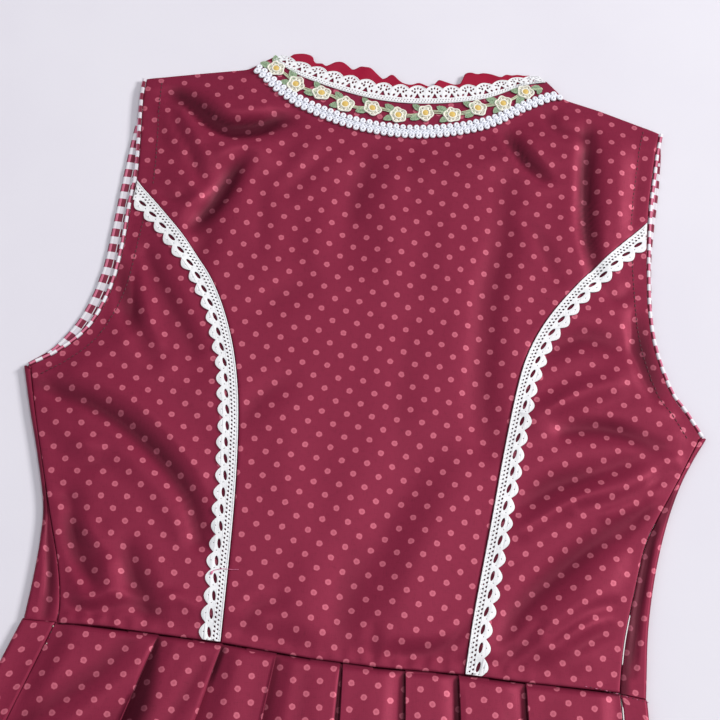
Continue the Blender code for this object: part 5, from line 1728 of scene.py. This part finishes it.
def armholePiping(side, settings):
    sign = sideSign(side)
    edge = armholeEdge(side, 260)
    line = offsetLine(edge, -sign * (settings["half"] + seamGap + 0.1))
    lowest = frontTop + seamGap + settings["height"] + 0.1
    height = np.maximum(backTop(edge[:, 0], edge[:, 1]) - bodiceWall / 2, lowest)
    angle = roundAngles(settings["sides"])
    rows = line[:, None] + (settings["half"] * np.cos(angle))[None, :, None] * normalsOf(line)[:, None]
    puff = 1.0 + 0.05 * np.sin(np.arange(len(line)) * 0.9)
    heights = height[:, None] + settings["height"] * np.sin(angle)[None] * puff[:, None]
    verts = np.dstack([rows, heights]).reshape(-1, 3)
    travelled = travelOf(line)
    # The cloth of the piping turns slowly round the cord, so its pink stripe comes up
    start, end = settings["stripe"][side]
    turnIn = start + (end - start) * smoothstep(travelled / travelled[-1] * 1.6)
    across = turnIn[:, None] * settings["check"] + 1.9 * sign * np.cos(angle)[None]
    uv = np.dstack([across, np.repeat(travelled[:, None], len(angle), axis=1)]).reshape(-1, 2)
    faces = tubeFaces(len(line), len(angle))
    piece = finishMesh(f"armhole_piping_{side}_cloth", verts, faces, uv, checkMaterial)
    place(piece, "checked_cotton", f"armhole_piping_{side}")


def armholeFacing(side, settings):
    above = np.array(sides[side]["front_armhole_above_seam"][::-1], float)
    below = np.array(sides[side]["front_armhole"], float)
    edge = smoothPath(np.vstack([above, below[1:]]), 300)[30:-20]
    count = len(edge)
    bow = 0.8 - 2.6 * np.sin(np.linspace(0.0, math.pi, count)) ** 0.6
    edge = edge + (normalsOf(edge) * sideSign(side)) * bow[:, None]
    ends = smoothstep(np.linspace(0.35, 4.0, count)) * smoothstep(np.linspace(5.0, 0.35, count))
    widths = settings["width"] * ends
    inward = sideSign(side) * normalsOf(edge)
    across = np.concatenate([[0.0, 0.03, 0.07, 0.12], np.linspace(0.2, 1.0, 7)])
    grid = edge[:, None] + inward[:, None] * (widths[:, None] * across[None])[..., None]
    drop = np.array([1.15, 0.7, 0.32, 0.1] + [0.0] * 7)
    ripple = 0.08 * np.sin(np.arange(count) * 0.31)
    heights = settings["rest"] - drop[None] * smoothstep(widths / 8)[:, None] + ripple[:, None]
    outer = np.dstack([grid, heights])
    along = np.repeat(travelOf(edge)[:, None] * 0.88, len(across), axis=1)
    uv = np.dstack([settings["start"][side] + (widths + 1.0)[:, None] * across[None], along])
    if side == "left":
        outer, uv = outer[::-1], uv[::-1]
    piece = shell(f"armhole_facing_{side}_cloth", outer, 0.8, uv, checkMaterial)
    place(piece, "checked_cotton", f"armhole_facing_{side}")


for side in ("left", "right"):
    armholePiping(side, pipingSettings)
    armholeFacing(side, facingSettings)


# Stitches

def dashTemplate(length, radius):
    x = np.linspace(-length / 2, length / 2, 7)
    swell = np.sqrt(np.clip(1.0 - (x / (length / 2 + 0.02)) ** 2, 0.02, 1.0))
    return finishMesh("stitch", *sweep(np.column_stack([x, 0 * x, 0 * x]), radius * swell, 6))


def stitchRow(name, line, pitch, length, radius, height, material, seed):
    count = max(2, int(lengthOf(line) / pitch))
    spots = evenly(line, count)
    along = np.gradient(spots, axis=0)
    rng = np.random.default_rng(seed)
    heading = np.arctan2(along[:, 1], along[:, 0]) + rng.normal(0.0, 0.05, count)
    heights = height(spots[:, 0], spots[:, 1])
    step = np.linalg.norm(along, axis=1)
    pitchUp = -np.arctan2(np.gradient(heights), step)
    points = np.column_stack([spots + rng.normal(0.0, 0.08, (count, 2)), heights])
    turns = np.column_stack([np.zeros(count), pitchUp, heading])
    template, sizes = dashTemplate(length, radius), np.ones((count, 3))
    place(onPoints(name, template, points, turns, sizes, material, 0.12, seed), "dotted_cloth")


def seamTop(x):
    # Height of the cloth's edge along the waist seam
    return np.where(np.abs(x) < 182.0, backTop(x, waistY(x) + 1.0) - 0.35, stripRest + bodiceWall - 0.2)


armholeStitches = {"pitch": 3.3, "length": 2.6, "radius": 0.38}
# The armhole's stitches stop at the lace, which crosses them at this y
laceCrossing = {"left": 322.0, "right": 336.0}

for side in ("left", "right"):
    edge = armholeEdge(side, 300)
    fromTop = np.linspace(0.0, 1.0, len(edge))
    inset = 12.0 - 3.2 * smoothstep((fromTop - 0.3) / 0.3)
    seam = (edge + normalsOf(edge) * sideSign(side) * inset[:, None])[4:-6]
    onLace = np.abs(seam[:, 1] - laceCrossing[side]) < 11.0
    for k, part in enumerate((seam[: np.argmax(onLace)], seam[len(seam) - np.argmax(onLace[::-1]):])):
        stitchRow(
            f"armhole_stitches_{side}_{k}", part, **armholeStitches,
            height=lambda x, y: backTop(x, y) + 0.1, material=thread["stitch"], seed=20 + k,
        )

# Stitches over the waist seam and the skirt. Rows are piece, path, pitch, length, radius, thread, seed, rise.
waistDashes = ((158.0, -1.0), (170.0, -2.2), (181.0, -3.6), (190.0, -4.9), (199.0, -6.4))
skirtDashes = ((-189.9, -1.2), (-190.4, -5.0), (-191.0, -9.4), (-191.9, -13.0))
dashes = (
    ("waist_stitches_right", waistDashes, 2.9, 1.7, 0.34, "stitch", 31, 0.4),
    ("waist_stitches_pink", waistDashes, 5.8, 1.5, 0.26, "pink", 32, 0.55),
    ("skirt_stitches_left", skirtDashes, 2.6, 1.5, 0.34, "stitch", 33, 0.75),
    ("skirt_stitches_pink", skirtDashes, 4.1, 1.1, 0.28, "petal", 34, 0.85),
)
for name, ends, pitch, length, radius, yarn, seed, rise in dashes:
    line = smoothPath(ends, 120)
    stitchRow(name, line, pitch, length, radius, lambda x, y: seamTop(x) + rise, thread[yarn], seed)


# A loose pink thread beside the left lace

looseThread = (
    (-93.2, 44.6), (-92.4, 46.6), (-91.2, 47.6), (-88.6, 48.6), (-85.6, 49.3), (-82.0, 49.4), (-78.6, 49.9),
    (-75.4, 50.4),
)
threadLine = smoothPath(looseThread, 60)
threadHeight = backTop(threadLine[:, 0], threadLine[:, 1]) + 0.3 + 0.1 * np.sin(np.arange(60) * 0.4)
onLace = smoothstep((-79.6 - threadLine[:, 0]) / 1.5)
threadPath = np.column_stack([threadLine, threadHeight + 1.05 * onLace])
threadEnd = sweep(threadPath, 0.2 + 0.6 * smoothstep((9 - np.arange(60)) / 5), 6)
placeParts("loose_thread", [threadEnd], thread["pink"], "cotton_lace")


# Zip: the tape under the right side seam, and its closed coil, which shows where the seam gapes

zipSettings = {
    "top": 118.0, "bottom": -130.0, "half": 4.5, "rest": 1.5, "wall": 0.6, "coil": 0.4, "tooth": 1.3,
    "stretches": (("upper", 14.0, 54.0, 4.2), ("lower", -104.0, -9.0, 5.2)),  # name, ends, height
}


def zipX(y):
    upper = smoothPath(sides["right"]["side_seam"], 200)
    below = np.array([fanLines(-v, ("side",))[1][0] for v in np.minimum(y, 0.0)])
    return np.where(y > 0, np.interp(y, upper[:, 1], upper[:, 0]), below)


def sideZip(settings):
    y = np.linspace(settings["bottom"], settings["top"], 320)
    x = zipX(y) + 0.4
    columns = []
    for share in np.linspace(-1.0, 1.0, 7):
        z = np.full(len(y), settings["rest"] + settings["wall"]) + 0.1 * math.cos(share * math.pi)
        columns.append(np.column_stack([x + share * settings["half"], y, z]))
    outer = np.stack(columns, axis=1)
    tape = shell("side_zip_tape", outer, settings["wall"], outer[..., :2].copy(), thread["tape"])
    place(tape, "zip_tape", "side_zip")
    for name, low, high, top in settings["stretches"]:
        y = np.linspace(low, high, int((high - low) * 5))
        ends = smoothstep((y - low) / 4) * smoothstep((high - y) / 4)
        rib = 1.0 + 0.12 * np.sin(y * tau / settings["tooth"])
        path = np.column_stack([zipX(y) + 0.45, y, top - 1.2 * (1 - ends)])
        coil = sweep(path, settings["coil"] * rib * (0.2 + 0.8 * ends), 8)
        placeParts(f"side_zip_coil_{name}", [coil], thread["tape"], "zip_tape")


sideZip(zipSettings)
print("armholes, stitches and zip")


# Floor, light and camera

floorSettings = {
    "half": 6.0, "height": -0.0002, "roughness": 0.85,
    "colours": ((0.742, 0.724, 0.796, 1.0), (0.768, 0.753, 0.818, 1.0)),
}


def floorMaterial(settings):
    material, tree, shader = startMaterial("pale_floor")
    spot = addNode(tree, "ShaderNodeTexCoord").outputs["Object"]
    cloudy = ranged(tree, noiseNode(tree, spot, 6.0, 3.0, 0.55), 0.3, 0.7)
    base = mixColour(tree, cloudy, *settings["colours"])
    feed(tree, shader, {"Base Color": base, "Roughness": settings["roughness"]})
    bumpInto(tree, shader, noiseNode(tree, spot, 900.0, 2.0), 0.08, 0.0004)
    return material


def addFloor(settings):
    half, height = settings["half"], settings["height"]
    corners = [(x * half, y * half, height) for x, y in ((-1, -1), (1, -1), (1, 1), (-1, 1))]
    mesh = bpy.data.meshes.new("floor")
    mesh.from_pydata(corners, [], [(0, 1, 2, 3)])
    mesh.materials.append(floorMaterial(settings))
    floor = linked("floor", mesh)


# Lights: place, size, power, colour
lightSettings = {
    "top": ((0.30, 0.70, 2.4), (0.9, 0.9), 17.5, (1.0, 0.985, 0.97)),
    "key": ((3.5, 1.7, 2.5), (1.15, 1.15), 176.0, (1.0, 0.985, 0.97)),
    "fill": ((-2.2, -0.6, 2.0), (2.0, 2.0), 14.0, (0.95, 0.96, 1.0)),
}
lightMiddle = (0.0, 0.2, 0.0)
skySettings = {"Color": (0.93, 0.93, 1.0, 1.0), "Strength": 0.268}


def addLights(settings, sky):
    for name, (spot, size, power, colour) in settings.items():
        light = bpy.data.lights.new(name, "AREA")
        light.shape = "RECTANGLE"
        light.size, light.size_y = size
        light.energy = power
        light.color = colour
        lamp = linked(name, light)
        lamp.location = spot
        toMiddle = Vector(lightMiddle) - Vector(spot)
        lamp.rotation_euler = toMiddle.to_track_quat("-Z", "Y").to_euler()
    world = bpy.context.scene.world or bpy.data.worlds.new("studio")
    bpy.context.scene.world = world
    world.use_nodes = True
    background = next(n for n in world.node_tree.nodes if n.type == "BACKGROUND")
    feed(world.node_tree, background, sky)


# The camera stands on the hem's side of the picture's middle, about 25 degrees off straight above
cameraSettings = {
    "tilt": 24.6, "roll": 9.0, "heading": 2.5, "distance": 1.295, "aim": (-10.93 * mm, 214.89 * mm, 0.0),
    "width": 0.504, "sensor": 36.0,
}


def addCamera(settings):
    tilt, roll = math.radians(settings["tilt"]), math.radians(settings["roll"])
    heading, distance = math.radians(settings["heading"]), settings["distance"]
    away = Vector((math.sin(heading), math.cos(heading), 0.0))
    across = Vector((math.cos(heading), -math.sin(heading), 0.0))
    straightUp = Vector((0.0, 0.0, 1.0))
    level = math.cos(tilt) * away + math.sin(tilt) * straightUp
    back = math.cos(tilt) * straightUp - math.sin(tilt) * away
    right = math.cos(roll) * across + math.sin(roll) * level
    up = math.cos(roll) * level - math.sin(roll) * across
    stand = Vector(settings["aim"]) + distance * back
    camera = bpy.data.cameras.new("camera")
    camera.sensor_width = settings["sensor"]
    camera.lens = settings["sensor"] * distance / settings["width"]
    camera.clip_start = 0.05
    made = linked("camera", camera)
    rows = [(right[k], up[k], back[k], stand[k]) for k in range(3)]
    made.matrix_world = Matrix(rows + [(0.0, 0.0, 0.0, 1.0)])
    bpy.context.scene.camera = made


addFloor(floorSettings)
addLights(lightSettings, skySettings)
addCamera(cameraSettings)
bpy.context.scene.view_settings.view_transform = "Standard"
print("scene ready")
